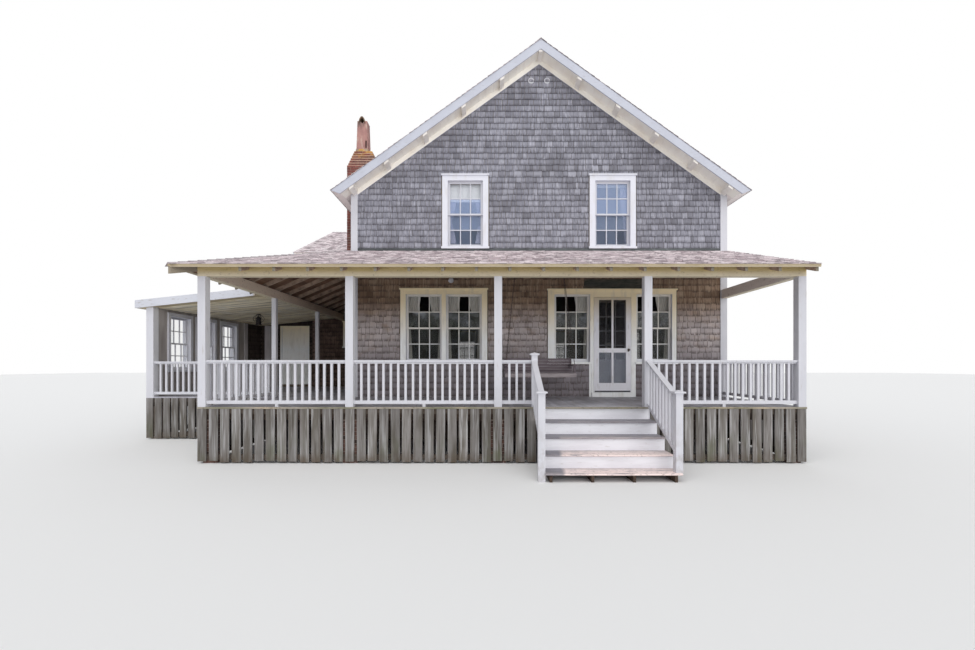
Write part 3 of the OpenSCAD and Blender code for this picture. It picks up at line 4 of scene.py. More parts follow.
import bpy
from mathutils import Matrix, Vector


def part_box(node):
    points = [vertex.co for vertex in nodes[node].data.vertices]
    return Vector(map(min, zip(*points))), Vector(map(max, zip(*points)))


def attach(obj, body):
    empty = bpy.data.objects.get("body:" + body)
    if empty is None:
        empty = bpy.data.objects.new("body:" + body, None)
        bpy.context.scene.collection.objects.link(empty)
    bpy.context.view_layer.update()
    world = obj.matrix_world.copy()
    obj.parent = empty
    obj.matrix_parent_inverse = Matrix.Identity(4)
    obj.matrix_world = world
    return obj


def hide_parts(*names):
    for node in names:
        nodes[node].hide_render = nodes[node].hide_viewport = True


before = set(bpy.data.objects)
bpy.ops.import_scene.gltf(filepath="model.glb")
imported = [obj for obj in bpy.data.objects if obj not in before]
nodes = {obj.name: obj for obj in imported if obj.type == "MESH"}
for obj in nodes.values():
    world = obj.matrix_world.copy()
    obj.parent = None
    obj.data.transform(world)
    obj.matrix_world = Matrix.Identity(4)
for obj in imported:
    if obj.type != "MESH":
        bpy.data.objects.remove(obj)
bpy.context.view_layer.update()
scene = bpy.context.scene

# Standing place of the viewer: in front of the stair at eye height, looking square at the
# front wall through a wide lens. A little rise of the lens keeps the uprights plumb and takes
# in the ridge.
viewer = bpy.data.cameras.new("viewer")
viewer.lens = 16.25
viewer.sensor_width = 36
viewer.shift_y = 0.0415
viewer.clip_end = 200
viewer.dof.use_dof = False
viewer_stand = bpy.data.objects.new("viewer", viewer)
viewer_stand.location = (-1.16, -9.93, 1.66)
viewer_stand.rotation_euler = (math.radians(90), 0, 0)
scene.collection.objects.link(viewer_stand)
scene.camera = viewer_stand

# Daylight of a bright hazy day: an even pale sky all round, broad soft suns from low and from high
# in front, and a faint one from behind. The front is lit evenly, and colours come out as written.

def plug(tree, node, sources):
    """Links each input named to an output of another node, or sets it to a value."""
    for key, source in sources.items():
        if isinstance(source, bpy.types.NodeSocket):
            tree.links.new(source, node.inputs[key])
        else:
            node.inputs[key].default_value = source


def add_node(tree, kind, sources, out=0, **settings):
    node = tree.nodes.new("ShaderNode" + kind)
    for key, value in settings.items():
        setattr(node, key, value)
    plug(tree, node, sources)
    return node.outputs[out] if node.outputs else None


sky = bpy.data.worlds.new("sky")
scene.world = sky
sky.use_nodes = True
air = sky.node_tree
air.nodes.clear()
daylight = add_node(air, "Background", {"Color": (0.95, 0.97, 1.0, 1), "Strength": 0.55})
plain_white = add_node(air, "Background", {"Color": (1, 1, 1, 1), "Strength": 1.0})
ray = air.nodes.new("ShaderNodeLightPath").outputs
straight = ray["Is Camera Ray"]
for kind in ("Is Glossy Ray", "Is Transmission Ray"):
    straight = add_node(air, "Math", {0: straight, 1: ray[kind]}, operation="MAXIMUM")
backdrop = add_node(air, "MixShader", {0: straight, 1: daylight, 2: plain_white})
add_node(air, "OutputWorld", {"Surface": backdrop})
scene.view_settings.view_transform = "Standard"


def hang_sun(name, strength, softness, turn, tilt, tint):
    lamp = bpy.data.lights.new(name, "SUN")
    lamp.energy = strength
    lamp.angle = math.radians(softness)
    lamp.color = tint
    holder = bpy.data.objects.new(name, lamp)
    holder.rotation_euler = (math.radians(tilt), 0, math.radians(turn))
    scene.collection.objects.link(holder)


hang_sun("hazy_front", 1.38, 50, 24, 80, (1.0, 0.99, 0.975))
hang_sun("high_sun", 1.1, 40, -25, 28, (1.0, 0.99, 0.97))
hang_sun("back_sky", 0.35, 70, 190, 50, (0.95, 0.97, 1.0))

# Floor for the picture: a plain pale sheet that the house stands on and throws its shade on, flat
# and reaching far out to every side. It is staged, so it is no part of the house.
floor_mesh = bpy.data.meshes.new("floor")
floor_half = 90
floor_corners = [(-floor_half, -floor_half, 0), (floor_half, -floor_half, 0),
                 (floor_half, floor_half, 0), (-floor_half, floor_half, 0)]
floor_mesh.from_pydata(floor_corners, [], [(0, 1, 2, 3)])
floor = bpy.data.objects.new("floor", floor_mesh)
scene.collection.objects.link(floor)
floor_paint = bpy.data.materials.new("floor_pale")
floor_paint.use_nodes = True
floor_skin = floor_paint.node_tree.nodes["Principled BSDF"]
floor_skin.inputs["Base Color"].default_value = (0.82, 0.82, 0.82, 1)
floor_skin.inputs["Roughness"].default_value = 0.9
floor_mesh.materials.append(floor_paint)

# Foundation: walls and piers of red brick in running bond, each brick standing a little proud
# of its raked joint. They carry the house, the wing and the porch, and show on the right side,
# at the back, and between the skirt boards of the porch.


def shade(r, g, b):
    """Colour as it is seen on a screen, turned into the light it gives back."""
    return tuple(c / 255 / 12.92 if c <= 10 else ((c / 255 + 0.055) / 1.055) ** 2.4
                 for c in (r, g, b))


def wash(colour, much, size, low, high, fall=None, side=None, mark=None):
    """Second colour laid over a finish through noise of one size, as the noise goes from low to
    high. It can come in along an axis (fall: from, to, and the axis where that isn't height), keep
    to faces that look one way (side: axis, from, to), or follow a number of the mesh (mark)."""
    return dict(to=(*shade(*colour), 1), much=much, size=size, low=low, high=high, fall=fall,
                side=side, mark=mark)


def over(colour, much=1.0, **where):
    """Second colour laid on evenly, without noise."""
    return wash(colour, much, 1, -1, -0.5, **where)


def coat(name, base, *washes, rough=0.6, relief=None, tint=0.0, metal=0.0, clear=1.0, sheen=None,
         gloss=0.4, body=None):
    """Finish of one kind: a base colour under its washes. Relief is the size and depth of its
    lumps, sheen is noise in its roughness, tint is how far single boards differ in brightness, and
    body lets a number of the mesh say how solid it is."""
    finish = bpy.data.materials.new(name)
    finish.use_nodes = True
    tree = finish.node_tree
    skin = tree.nodes["Principled BSDF"]
    colour = base = (*shade(*base), 1)
    plug(tree, skin, {"Base Color": base, "Roughness": rough, "Metallic": metal, "Alpha": clear,
                      "Specular IOR Level": gloss})
    place = add_node(tree, "TexCoord", {}, "Object")

    def ranged(source, low, high, to_low=0.0, to_high=1.0):
        return add_node(tree, "MapRange", {"Value": source, "From Min": low, "From Max": high,
                                           "To Min": to_low, "To Max": to_high})

    def cloud(size, detail=3.0):
        stretch = size if isinstance(size, tuple) else (size,) * 3
        where = add_node(tree, "VectorMath", {0: place, 1: stretch}, operation="MULTIPLY")
        return add_node(tree, "TexNoise", {"Vector": where, "Scale": 1.0, "Detail": detail}, "Fac")

    def part(source, axis):
        return add_node(tree, "SeparateXYZ", {0: source}, axis)

    def carried(number):
        return add_node(tree, "Attribute", {}, "Fac", attribute_name=number)

    for layer in washes:
        share = ranged(cloud(layer["size"]), layer["low"], layer["high"], 0.0, layer["much"])
        guides = []
        if layer["fall"]:
            low, high, *across = layer["fall"]
            guides.append((part(place, across[0] if across else 2), low, high))
        if layer["side"]:
            axis, low, high = layer["side"]
            guides.append((part(add_node(tree, "NewGeometry", {}, "Normal"), axis), low, high))
        if layer["mark"]:
            number, low, high = layer["mark"]
            guides.append((carried(number), low, high))
        for guide in guides:
            share = add_node(tree, "Math", {0: share, 1: ranged(*guide)}, operation="MULTIPLY")
        colour = add_node(tree, "Mix", {0: share, 6: colour, 7: layer["to"]}, 2, data_type="RGBA",
                          clamp_factor=True)
    if tint:
        bright = ranged(carried("tint"), 0, 1, 1 - tint, 1 + tint)
        colour = add_node(tree, "HueSaturation", {"Color": colour, "Value": bright})
    plug(tree, skin, {"Base Color": colour})
    if relief:
        lumps = {"Strength": 0.6, "Distance": relief[1], "Height": cloud(relief[0], 4.0)}
        plug(tree, skin, {"Normal": add_node(tree, "Bump", lumps)})
    if sheen:
        plug(tree, skin, {"Roughness": ranged(cloud(sheen[0]), 0.3, 0.7, *sheen[1])})
    if body:
        plug(tree, skin, {"Alpha": ranged(carried(body[0]), 0, 1, *body[1])})
    return finish


def dress(finish, *names):
    """Gives a finish to solids that are right as they are."""
    for name in names:
        slots = nodes[name].data.materials
        slots.clear()
        slots.append(finish)


def make_piece(name, verts, faces, finish, body="house", marks=None, smooth=False,
               stands_for=()):
    """One object of its own. Marks are numbers that its points carry for the finish to read."""
    mesh = bpy.data.meshes.new(name)
    mesh.from_pydata(verts, [], faces)
    for number, values in (marks or {}).items():
        layer = mesh.attributes.new(number, "FLOAT", "POINT")
        layer.data.foreach_set("value", values)
    mesh.materials.append(finish)
    if smooth:
        mesh.shade_smooth()
    piece = bpy.data.objects.new(name, mesh)
    scene.collection.objects.link(piece)
    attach(piece, body)
    if stands_for:
        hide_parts(*stands_for)
    return piece


edge_mark = 3.0
brick_len = 0.203
brick_high = 0.057
joint = 0.010
brick_proud = 0.007
brick_faces = [(6, 4, 5, 7), (0, 6, 7, 1), (4, 2, 3, 5), (1, 7, 5, 3), (0, 2, 4, 6)]


def lay_bricks(name, walls, finish, seed):
    """Bricks on plumb faces. A face is its left foot, direction, length and two heights."""
    chance = random.Random(seed)
    verts, faces, tint = [], [], []
    for (x, y), (dx, dy), length, z0, z1 in walls:
        course = 0
        z = z0
        while z + brick_high * 0.6 < z1:
            top = min(z + brick_high, z1)
            u = -(course % 2) * (brick_len + joint) / 2 - (course % 3) * 0.012
            while u < length:
                a, b = max(u, -brick_proud), min(u + brick_len, length + brick_proud)
                u += brick_len + joint
                if b - a < 0.02:
                    continue
                proud = brick_proud + chance.uniform(-0.0025, 0.002)
                n = len(verts)
                for w, out in ((a, -0.01), (b, -0.01), (b, proud), (a, proud)):
                    for h in (z, top):
                        verts.append((x + dx * w + dy * out, y + dy * w - dx * out, h))
                faces += [tuple(n + i for i in face) for face in brick_faces]
                tint += [chance.random() ** 1.3] * 8
            z += brick_high + joint
            course += 1
    make_piece(name, verts, faces, finish, marks={"tint": tint})


mortar = coat(
    "raked_mortar", (150, 136, 126),
    wash((120, 104, 96), 0.8, 9, 0.4, 0.75),
    rough=0.95, relief=(140, 0.003))
red_brick = coat(
    "red_brick", (150, 100, 88),
    wash((106, 70, 64), 0.8, (14, 14, 22), 0.45, 0.7),
    wash((196, 150, 132), 0.6, (5, 5, 7), 0.55, 0.8),
    wash((86, 78, 70), 0.7, 4, 0.3, 0.6, fall=(0.35, 0.0)),
    rough=0.9, relief=(90, 0.003), tint=0.28)
dress(mortar, "foundation", "chimney")
foot_lo, foot_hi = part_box("foundation")
foundation_top = 0.78
right_face = 4.24
back_face = foot_hi.y
garden_face = foot_lo.x
foundation_set = 0.03
wing_foot = 4.74
foundation_walls = [
    ((right_face, -foundation_set), (0, 1), back_face + foundation_set, 0, foundation_top),
    ((right_face, back_face), (-1, 0), right_face - garden_face, 0, foundation_top),
    ((garden_face, back_face), (0, -1), back_face - wing_foot, 0, foundation_top)]
pier = 0.24
pier_top = 0.72
pier_front = -2.42
pier_faces = []
for px in (-5.885, -3.504, -0.979, 1.566, 4.055):
    left, right = px - pier / 2, px + pier / 2
    for foot, turn in (((left, pier_front), (1, 0)), ((right, pier_front), (0, 1)),
                       ((left, pier_front + pier), (0, -1))):
        pier_faces.append((foot, turn, pier, 0, pier_top))
lay_bricks("foundation_bricks", foundation_walls, red_brick, 11)
# Pier brick: a darker, duller copy of the red brick, as painted shade for the piers behind the
# skirt boards.
pier_brick_shaded = coat(
    "pier_brick_shaded", (112, 84, 76),
    wash((70, 58, 54), 0.9, (8, 8, 12), 0.4, 0.62),
    wash((160, 136, 126), 0.5, (5, 5, 7), 0.58, 0.8),
    rough=0.95, relief=(90, 0.003), tint=0.25)
lay_bricks("pier_bricks", pier_faces, pier_brick_shaded, 12)

# Deck frame and stair stringers: sawn softwood joists and stringers, nailed together over the
# brick piers. Their dark brown is painted deeper still, as painted shade under the deck. The floors
# inside and the swing's beam match.
dark_timber = coat(
    "dark_timber", (76, 62, 54),
    wash((56, 44, 38), 0.8, (6, 6, 30), 0.4, 0.65),
    wash((134, 116, 98), 0.5, 3, 0.5, 0.8),
    rough=0.9, relief=((60, 60, 160), 0.002))
dress(dark_timber, "deck_frame", "stair_stringers", "swing_beam", "ground_floor", "upper_floor")

# Porch deck: narrow tongued boards laid from the wall to the front and painted grey, with a
# weathered nosing strip along their ends. The paint is worn and stained.


def box_corners(lo, hi):
    return [(x, y, z) for x in (lo[0], hi[0]) for y in (lo[1], hi[1]) for z in (lo[2], hi[2])]


box_faces = [(0, 1, 3, 2), (4, 6, 7, 5), (0, 4, 5, 1), (2, 3, 7, 6), (0, 2, 6, 4), (1, 5, 7, 3)]


def ease_edges(piece, width):
    """Rounds the sharp edges of a planed piece a little."""
    eased = piece.modifiers.new("eased_edges", "BEVEL")
    eased.width = width
    eased.segments = 2
    eased.limit_method = "ANGLE"
    eased.angle_limit = math.radians(50)


def nail_boards(name, boards, finish, body="house", seed=1, stands_for=(), ease=0.0,
                marks=None):
    """One piece of many boards. A board is two corners, or eight points in the same order."""
    chance = random.Random(seed)
    verts, faces, tint = [], [], []
    for board in boards:
        n = len(verts)
        verts += box_corners(*board) if len(board) == 2 else board
        faces += [tuple(n + i for i in face) for face in box_faces]
        tint += [chance.random()] * 8
    piece = make_piece(name, verts, faces, finish, body, {"tint": tint, **(marks or {})},
                       stands_for=stands_for)
    if ease:
        ease_edges(piece, ease)
    return piece


def cut(rect, hole):
    """What is left of a rectangle (x0, y0, x1, y1) outside another one."""
    x0, y0, x1, y1 = rect
    a0, b0, a1, b1 = hole
    if x1 <= a0 or x0 >= a1 or y1 <= b0 or y0 >= b1:
        return [rect]
    left = []
    if x0 < a0:
        left.append((x0, y0, a0, y1))
    if x1 > a1:
        left.append((a1, y0, x1, y1))
    if y0 < b0:
        left.append((max(x0, a0), y0, min(x1, a1), b0))
    if y1 > b1:
        left.append((max(x0, a0), b1, min(x1, a1), y1))
    return left


def run_boards(rect, width, gap, z0, z1, holes=(), jitter=0.0, seed=3):
    """Boards that run along Y over a rectangle, with holes cut through them."""
    chance = random.Random(seed)
    x0, y0, x1, y1 = rect
    count = round((x1 - x0) / width)
    step = (x1 - x0) / count
    boards = []
    for i in range(count):
        strips = [(x0 + i * step + gap / 2, y0, x0 + (i + 1) * step - gap / 2, y1)]
        lift = chance.uniform(-jitter, jitter)
        for hole in holes:
            strips = [part for strip in strips for part in cut(strip, hole)]
        boards += [((a, b, z0), (c, d, z1 + lift)) for a, b, c, d in strips]
    return boards


deck_lo, deck_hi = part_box("deck")
deck_top = deck_hi.z
deck_foot = deck_lo.z
porch_left = -6.078
porch_right = 4.248
garden_left = -8.848
wall_left = -4.21
wing_front = 4.77
chimney_lo, chimney_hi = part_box("chimney")
chimney_hole = (chimney_lo.x, chimney_lo.y, chimney_hi.x, chimney_hi.y)
nosing_in = 0.03
deck_grey = coat(
    "deck_paint_worn", (182, 182, 191),
    wash((142, 140, 148), 0.9, (2.2, 1.2, 2), 0.4, 0.7),
    wash((166, 160, 158), 0.7, (11, 2, 11), 0.55, 0.75),
    wash((92, 82, 74), 0.5, (30, 3, 30), 0.55, 0.8),
    rough=0.55, relief=((160, 20, 160), 0.0012), tint=0.1, sheen=(3, (0.45, 0.75)))
board_wide, seam = 0.085, 0.003
garden_post = (-8.86, 0, -8.7, 0.16)
deck_boards = run_boards((porch_left, deck_lo.y + nosing_in, porch_right, 0), board_wide, seam,
                         deck_foot, deck_top, jitter=0.0006, seed=4)
deck_boards += run_boards((garden_left, seam, wall_left, wing_front), board_wide, seam,
                          deck_foot, deck_top, [chimney_hole, garden_post], 0.0006, 5)
nail_boards("deck_boards", deck_boards, deck_grey, seed=6, stands_for=("deck",))
nosing_wood = coat(
    "mossy_nosing", (160, 152, 140),
    wash((112, 112, 88), 0.9, (1.3, 1.3, 6), 0.42, 0.62),
    wash((206, 184, 150), 0.5, (0.9, 0.9, 3), 0.58, 0.7),
    wash((70, 66, 60), 0.6, (14, 14, 30), 0.55, 0.75),
    rough=0.9, relief=((40, 90, 90), 0.002), tint=0.08)
nosing_cuts = [porch_left, -4.9, -2.35, -0.338, 1.602, 2.9, porch_right]
nosing_back = deck_lo.y + nosing_in - 0.001
nosing = [((a + 0.001, deck_lo.y, deck_foot), (b - 0.001, nosing_back, deck_top + 0.001))
          for a, b in zip(nosing_cuts, nosing_cuts[1:])]
nail_boards("deck_nosing", nosing, nosing_wood, seed=7, ease=0.004)

# Skirts: upright boards with open gaps round the foot of the porch, nailed to two rails. They
# have gone grey-green and streaky, and some lean or have warped at the foot.
skirt_lo, skirt_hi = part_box("skirt_front")
skirt_wood = coat(
    "skirt_grey", (126, 122, 120),
    wash((96, 91, 84), 0.9, (7, 7, 1.1), 0.45, 0.62),
    wash((166, 165, 165), 0.8, (26, 26, 1.3), 0.52, 0.66),
    wash((72, 66, 60), 0.7, (60, 60, 2.0), 0.54, 0.68),
    wash((84, 72, 58), 0.8, (9, 9, 4), 0.3, 0.6, fall=(0.25, 0.02)),
    wash((98, 102, 80), 0.6, (3, 3, 2), 0.5, 0.7, fall=(0.6, 0.2)),
    rough=0.9, relief=((110, 110, 12), 0.002), tint=0.15)
skirt_rail = coat(
    "skirt_rail_brown", (84, 74, 66),
    wash((52, 44, 40), 0.8, (4, 4, 20), 0.4, 0.7),
    rough=0.95, relief=((60, 60, 90), 0.002), tint=0.1)
skirt_board = 0.15
skirt_gap = 0.04
skirt_t = 0.022
rail_t = 0.038
rail_high = 0.09
skirt_foot = skirt_lo.z
skirt_top = skirt_hi.z


def skirt_panel(foot, turn, length, seed):
    """Boards and rails of one panel, drawn from its left foot and turned round it."""
    chance = random.Random(seed)
    count = round((length - skirt_board) / (skirt_board + skirt_gap))
    step = (length - skirt_board) / count
    c, s = round(math.cos(turn)), round(math.sin(turn))
    upright = []

    def turned(points):
        return [(foot[0] + c * x - s * y, foot[1] + s * x + c * y, z) for x, y, z in points]

    for i in range(count + 1):
        lean = chance.uniform(-0.006, 0.006)
        warp = chance.choice((0, 0, 0, 0.006, 0.012))
        low = skirt_foot + chance.uniform(-0.012, 0.014)
        points = box_corners((i * step, 0, low), (i * step + skirt_board, skirt_t, skirt_top))
        upright.append(turned([(min(max(x + (lean if z == low else 0), 0), length),
                                y - (warp if z == low else 0), z) for x, y, z in points]))
    rails = [turned(box_corners((0, skirt_t, z), (length, skirt_t + rail_t, z + rail_high)))
             for z in (skirt_foot + 0.03, skirt_top - rail_high)]
    return upright, rails


stair_left = -0.338
stair_right = 1.602
skirt_face = -2.48
skirt_left, skirt_right, garden_x = -6.07, 4.24, -8.86
front_skirts = [
    skirt_panel((skirt_left, skirt_face), 0, stair_left - skirt_left, 21),
    skirt_panel((stair_right + 0.002, skirt_face), 0, skirt_right - stair_right - 0.002, 22)]
side_skirts = [
    skirt_panel((skirt_right, -2.418), math.pi / 2, 2.388, 23),
    skirt_panel((skirt_left, -0.002), -math.pi / 2, 2.416, 24),
    skirt_panel((garden_x, 0), 0, 2.788, 25),
    skirt_panel((garden_x, wing_foot), -math.pi / 2, 4.678, 26)]
for where, panels, seed in (("front", front_skirts, 31), ("side", side_skirts, 32)):
    nail_boards(f"skirt_boards_{where}", [b for panel in panels for b in panel[0]], skirt_wood,
                seed=seed, ease=0.002,
                stands_for=("skirt_front" if where == "front" else "skirt_sides",))
nail_boards("skirt_rails", [b for panel in front_skirts + side_skirts for b in panel[1]],
            skirt_rail, seed=33)

# Stair: four thin treads with rounded nosings, grey paint worn through to the wood along the
# fronts of the lower ones, on sawn stringers. Risers are white boards, the foot is left open.
tread_finish = coat(
    "tread_paint_worn", (138, 136, 144),
    wash((126, 122, 128), 0.8, (2, 6, 6), 0.4, 0.7),
    wash((240, 222, 218), 1.0, (3, 20, 20), 0.24, 0.44, mark=("wear", 0.2, 0.75)),
    wash((96, 84, 76), 0.7, (20, 30, 30), 0.55, 0.72, mark=("wear", 0.1, 0.9)),
    rough=0.6, relief=((20, 160, 160), 0.0012), tint=0.05)
tread_t = 0.028
step_rise = 0.206
step_going = 0.31
verts, faces, wear, tint = [], [], [], []
chance = random.Random(41)
for k in range(1, 5):
    top = deck_top - k * step_rise
    front = skirt_face - k * step_going
    back = front + step_going + 0.03 + 0.018
    profile = [(back, top - tread_t), (front + 0.012, top - tread_t),
               (front + 0.003, top - tread_t * 0.8), (front, top - tread_t / 2),
               (front + 0.003, top - tread_t * 0.2), (front + 0.012, top),
               (front + 0.06, top), (back, top)]
    cols = 24
    n = len(verts)
    for i in range(cols + 1):
        x = stair_left + (stair_right - stair_left) * i / cols
        dip = 0.0015 * math.sin(i / cols * math.pi) * (k > 2)
        for j, (y, z) in enumerate(profile):
            verts.append((x, y, z - dip))
            worn = {1: 0.6, 2: 1, 3: 1, 4: 1, 5: 0.95, 6: 0.8, 7: 0.4}.get(j, 0)
            scuffed = 0.25 if i < 4 else 1.0
            wear.append(worn * scuffed * (0.25, 0.35, 1.0, 1.15)[k - 1] * chance.uniform(0.85, 1.1))
            tint.append(0.5)
    rim = len(profile)
    for i in range(cols):
        for j in range(rim):
            a, b = n + i * rim + j, n + i * rim + (j + 1) % rim
            faces.append((a, b, b + rim, a + rim))
    faces.append(tuple(n + j for j in reversed(range(rim))))
    faces.append(tuple(n + cols * rim + j for j in range(rim)))
make_piece("tread_planks", verts, faces, tread_finish,
           marks={"wear": wear, "tint": tint}, stands_for=("stair_treads",))

# Painted joinery: posts, newels, railings, risers, sashes and the boards along corners, eaves and
# gable are softwood with white oil paint, a little chalky, with dirt at the foot and thin cracks
# along the grain.
white_paint = coat(
    "white_paint", (208, 208, 215),
    wash((190, 190, 198), 0.5, (2.5, 2.5, 0.8), 0.45, 0.75),
    # Painted light: faces turned right are painted lighter, as lit from the right front.
    over((228, 228, 232), side=(0, 0.3, 0.9)),
    wash((176, 170, 164), 0.45, (34, 34, 5), 0.62, 0.75),
    wash((150, 142, 134), 0.45, (14, 14, 9), 0.42, 0.66, fall=(1.0, 0.2)),
    rough=0.5, relief=((50, 50, 6), 0.0008), sheen=(4, (0.4, 0.65)))
# Sash paint, with painted light: under the porch roof (east of x = -6, up to about 3.6 m) the
# sashes are painted a lighter warm white against the porch's shade, and below 1.8 m a lighter
# blue-white.
sash_paint = coat(
    "sash_paint", (208, 208, 215),
    over((238, 234, 226), fall=(-6.5, -6.0, 0)),
    over((208, 208, 215), fall=(3.6, 3.9)),
    over((230, 232, 238), fall=(2.5, 1.8)),
    wash((190, 190, 198), 0.5, (2.5, 2.5, 0.8), 0.45, 0.75),
    rough=0.5, relief=((50, 50, 6), 0.0008))
step_white = coat(
    "riser_paint", (236, 236, 242),
    wash((215, 213, 220), 0.6, (1.6, 4, 9), 0.42, 0.7),
    wash((188, 182, 178), 0.4, (9, 9, 40), 0.62, 0.75),
    rough=0.55, relief=((6, 50, 50), 0.0008))
dress(white_paint, "newels", "stair_rails", "porch_posts", "railings_front", "railings_side",
      "corner_boards", "gable_vents", "porch_light")
dress(sash_paint, "front_sashes", "side_sashes")
dress(step_white, "stair_risers")
eave_paint = coat(
    "eave_paint", (206, 208, 217),
    wash((188, 189, 200), 0.5, (2.5, 2.5, 0.8), 0.45, 0.75),
    over((186, 173, 150), fall=(-6.42, -6.37, 0)),
    wash((150, 142, 130), 0.5, (9, 9, 40), 0.58, 0.72),
    rough=0.55, relief=((6, 6, 50), 0.0008))
dress(eave_paint, "eave_trim")
rake_paint = coat(
    "rake_paint", (194, 197, 209),
    wash((178, 180, 193), 0.5, 2.5, 0.45, 0.75),
    wash((164, 160, 160), 0.4, (9, 9, 34), 0.6, 0.75),
    rough=0.55, relief=((6, 50, 50), 0.0008))
dress(rake_paint, "rake_trim")
for name in ("newels", "porch_posts", "stair_rails", "railings_front", "railings_side", "rake_trim",
             "corner_boards", "stair_risers", "eave_trim"):
    ease_edges(nodes[name], 0.004)

# Porch beams: boxed beams of cream-painted boards on the posts. The cream is painted a deep yellow
# high under the eave and a lighter beige lower down, as painted shade from the eave and painted
# light below it; faces turned right are painted a warm white and faces turned left a pale grey,
# as painted light.
cream_paint = coat(
    "cream_paint", (210, 190, 140),
    wash((197, 177, 116), 0.8, (1.5, 1.5, 9), 0.4, 0.7),
    wash((212, 200, 174), 1.0, (1, 1, 3), -0.2, 0.3, fall=(3.28, 3.2)),
    over((255, 238, 218), side=(0, 0.3, 0.9)),
    over((236, 226, 220), side=(0, -0.3, -0.9)),
    wash((120, 100, 84), 0.5, (24, 24, 40), 0.6, 0.75),
    rough=0.6, relief=((8, 8, 60), 0.001))
dress(cream_paint, "beam_front", "beam_sides")

# Porch rafters: rough sawn rafters with open tails. Their sides are dark with age; their undersides
# are lighter, the cut ends of the tails a grey-tan, and the rafters at the far left a greyer tan.
rafter_wood = coat(
    "rafter_wood", (186, 162, 144),
    wash((118, 96, 84), 0.8, 8, 0.44, 0.7),
    wash((206, 186, 164), 0.8, 6, 0.25, 0.6, side=(2, -0.6, -0.9)),
    over((138, 131, 118), fall=(3.4, 3.36), side=(1, -0.85, -0.97)),
    over((150, 140, 124), fall=(-5.98, -6.06, 0)),
    rough=0.85, relief=((30, 30, 90), 0.0015))
dress(rafter_wood, "porch_rafters")

# Ceilings: the roof boards show between the open rafters of the porch, dark brown; the garden
# room has cream boards laid close under its roof.
sheathing_brown = coat(
    "roof_boards_brown", (150, 118, 98),
    wash((92, 68, 58), 0.85, 3, 0.4, 0.7),
    wash((150, 122, 92), 0.6, (1.5, 9, 9), 0.5, 0.75),
    rough=0.85, relief=((12, 60, 60), 0.0015), tint=0.2)
sheathing_cream = coat(
    "ceiling_boards_cream", (255, 246, 220),
    wash((212, 196, 154), 0.7, 2, 0.4, 0.7),
    wash((128, 110, 80), 0.85, (0.9, 13, 1), 0.5, 0.64),
    wash((228, 224, 214), 0.6, (6, 1.5, 6), 0.5, 0.75),
    rough=0.6, relief=((40, 8, 40), 0.001), tint=0.1)
porch_lo, porch_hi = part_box("porch_roof_front")
side_lo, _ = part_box("porch_roof_left")
roof_sheet = 0.035
eave_y, eave_x = porch_lo.y, side_lo.x
eave_z = porch_lo.z + roof_sheet
wall_top = porch_hi.z
front_slope = (wall_top - eave_z) / -eave_y
side_slope = (wall_top - eave_z) / (wall_left - eave_x)
board_thick = 0.009


def sloped_board(x0, x1, y0, y1, height, thick=board_thick):
    """Board under a slope: height(x, y) gives its upper face."""
    return [(x, y, height(x, y) - t) for x in (x0, x1) for y in (y0, y1) for t in (thick, 0)]


def front_under(_, y):
    return eave_z + front_slope * (y - eave_y) - roof_sheet


def side_under(x, _):
    return eave_z + side_slope * (x - eave_x) - roof_sheet


hip_run = wall_left - eave_x
ceiling = []
rows = 19
step = (-eave_y - 0.03) / rows
for i in range(rows):
    y0 = eave_y + 0.02 + i * step
    y1 = y0 + step - 0.004
    x0 = eave_x + (y1 - eave_y) * hip_run / -eave_y
    ceiling.append(sloped_board(x0, porch_hi.x - 0.004, y0, y1, front_under))
rows = 15
step = (hip_run - 0.03) / rows
for i in range(rows):
    x0 = eave_x + 0.02 + i * step
    x1 = x0 + step - 0.004
    y0 = eave_y + (x1 - eave_x) * -eave_y / hip_run
    for a, b, c, d in cut((x0, y0, x1, wing_front), chimney_hole):
        ceiling.append(sloped_board(a, c, b, d, side_under))
nail_boards("porch_roof_boards", ceiling, sheathing_brown, seed=51)

garden_rise = 0.105
garden_roof_t = 0.085


def garden_height(x):
    return eave_z + garden_rise * (x - eave_x)


def garden_under(x):
    return garden_height(x) - garden_roof_t


garden_inside = -8.7
ceiling_step, ceiling_board = 0.135, 0.126
garden_ceiling = []
for i in range(34):
    y0 = 0.17 + i * ceiling_step
    garden_ceiling.append(sloped_board(garden_inside, -6.08, y0, y0 + ceiling_board,
                                       lambda x, _: garden_under(x) - 0.0002, 0.008))
nail_boards("garden_ceiling_boards", garden_ceiling, sheathing_cream, seed=52)

# Wall shingles: sawn cedar, laid in courses by hand in random widths. In the open they have gone
# silver-grey, and under the porch roof they keep a brown. Each shingle is painted darker towards
# its butt, and its butt and sides are painted dark: painted shade for the lines between courses.


def clip(shape, outline):
    """Part of a convex shape that lies inside a convex outline drawn anticlockwise."""
    for (ax, ay), (bx, by) in zip(outline, outline[1:] + outline[:1]):
        kept = []
        for (px, py), (qx, qy) in zip(shape, shape[1:] + shape[:1]):
            p_side = (bx - ax) * (py - ay) - (by - ay) * (px - ax)
            q_side = (bx - ax) * (qy - ay) - (by - ay) * (qx - ax)
            if p_side >= 0:
                kept.append((px, py))
            if (p_side > 0 > q_side) or (p_side < 0 < q_side):
                t = p_side / (p_side - q_side)
                kept.append((px + (qx - px) * t, py + (qy - py) * t))
        shape = kept
        if len(shape) < 3:
            return []
    return shape


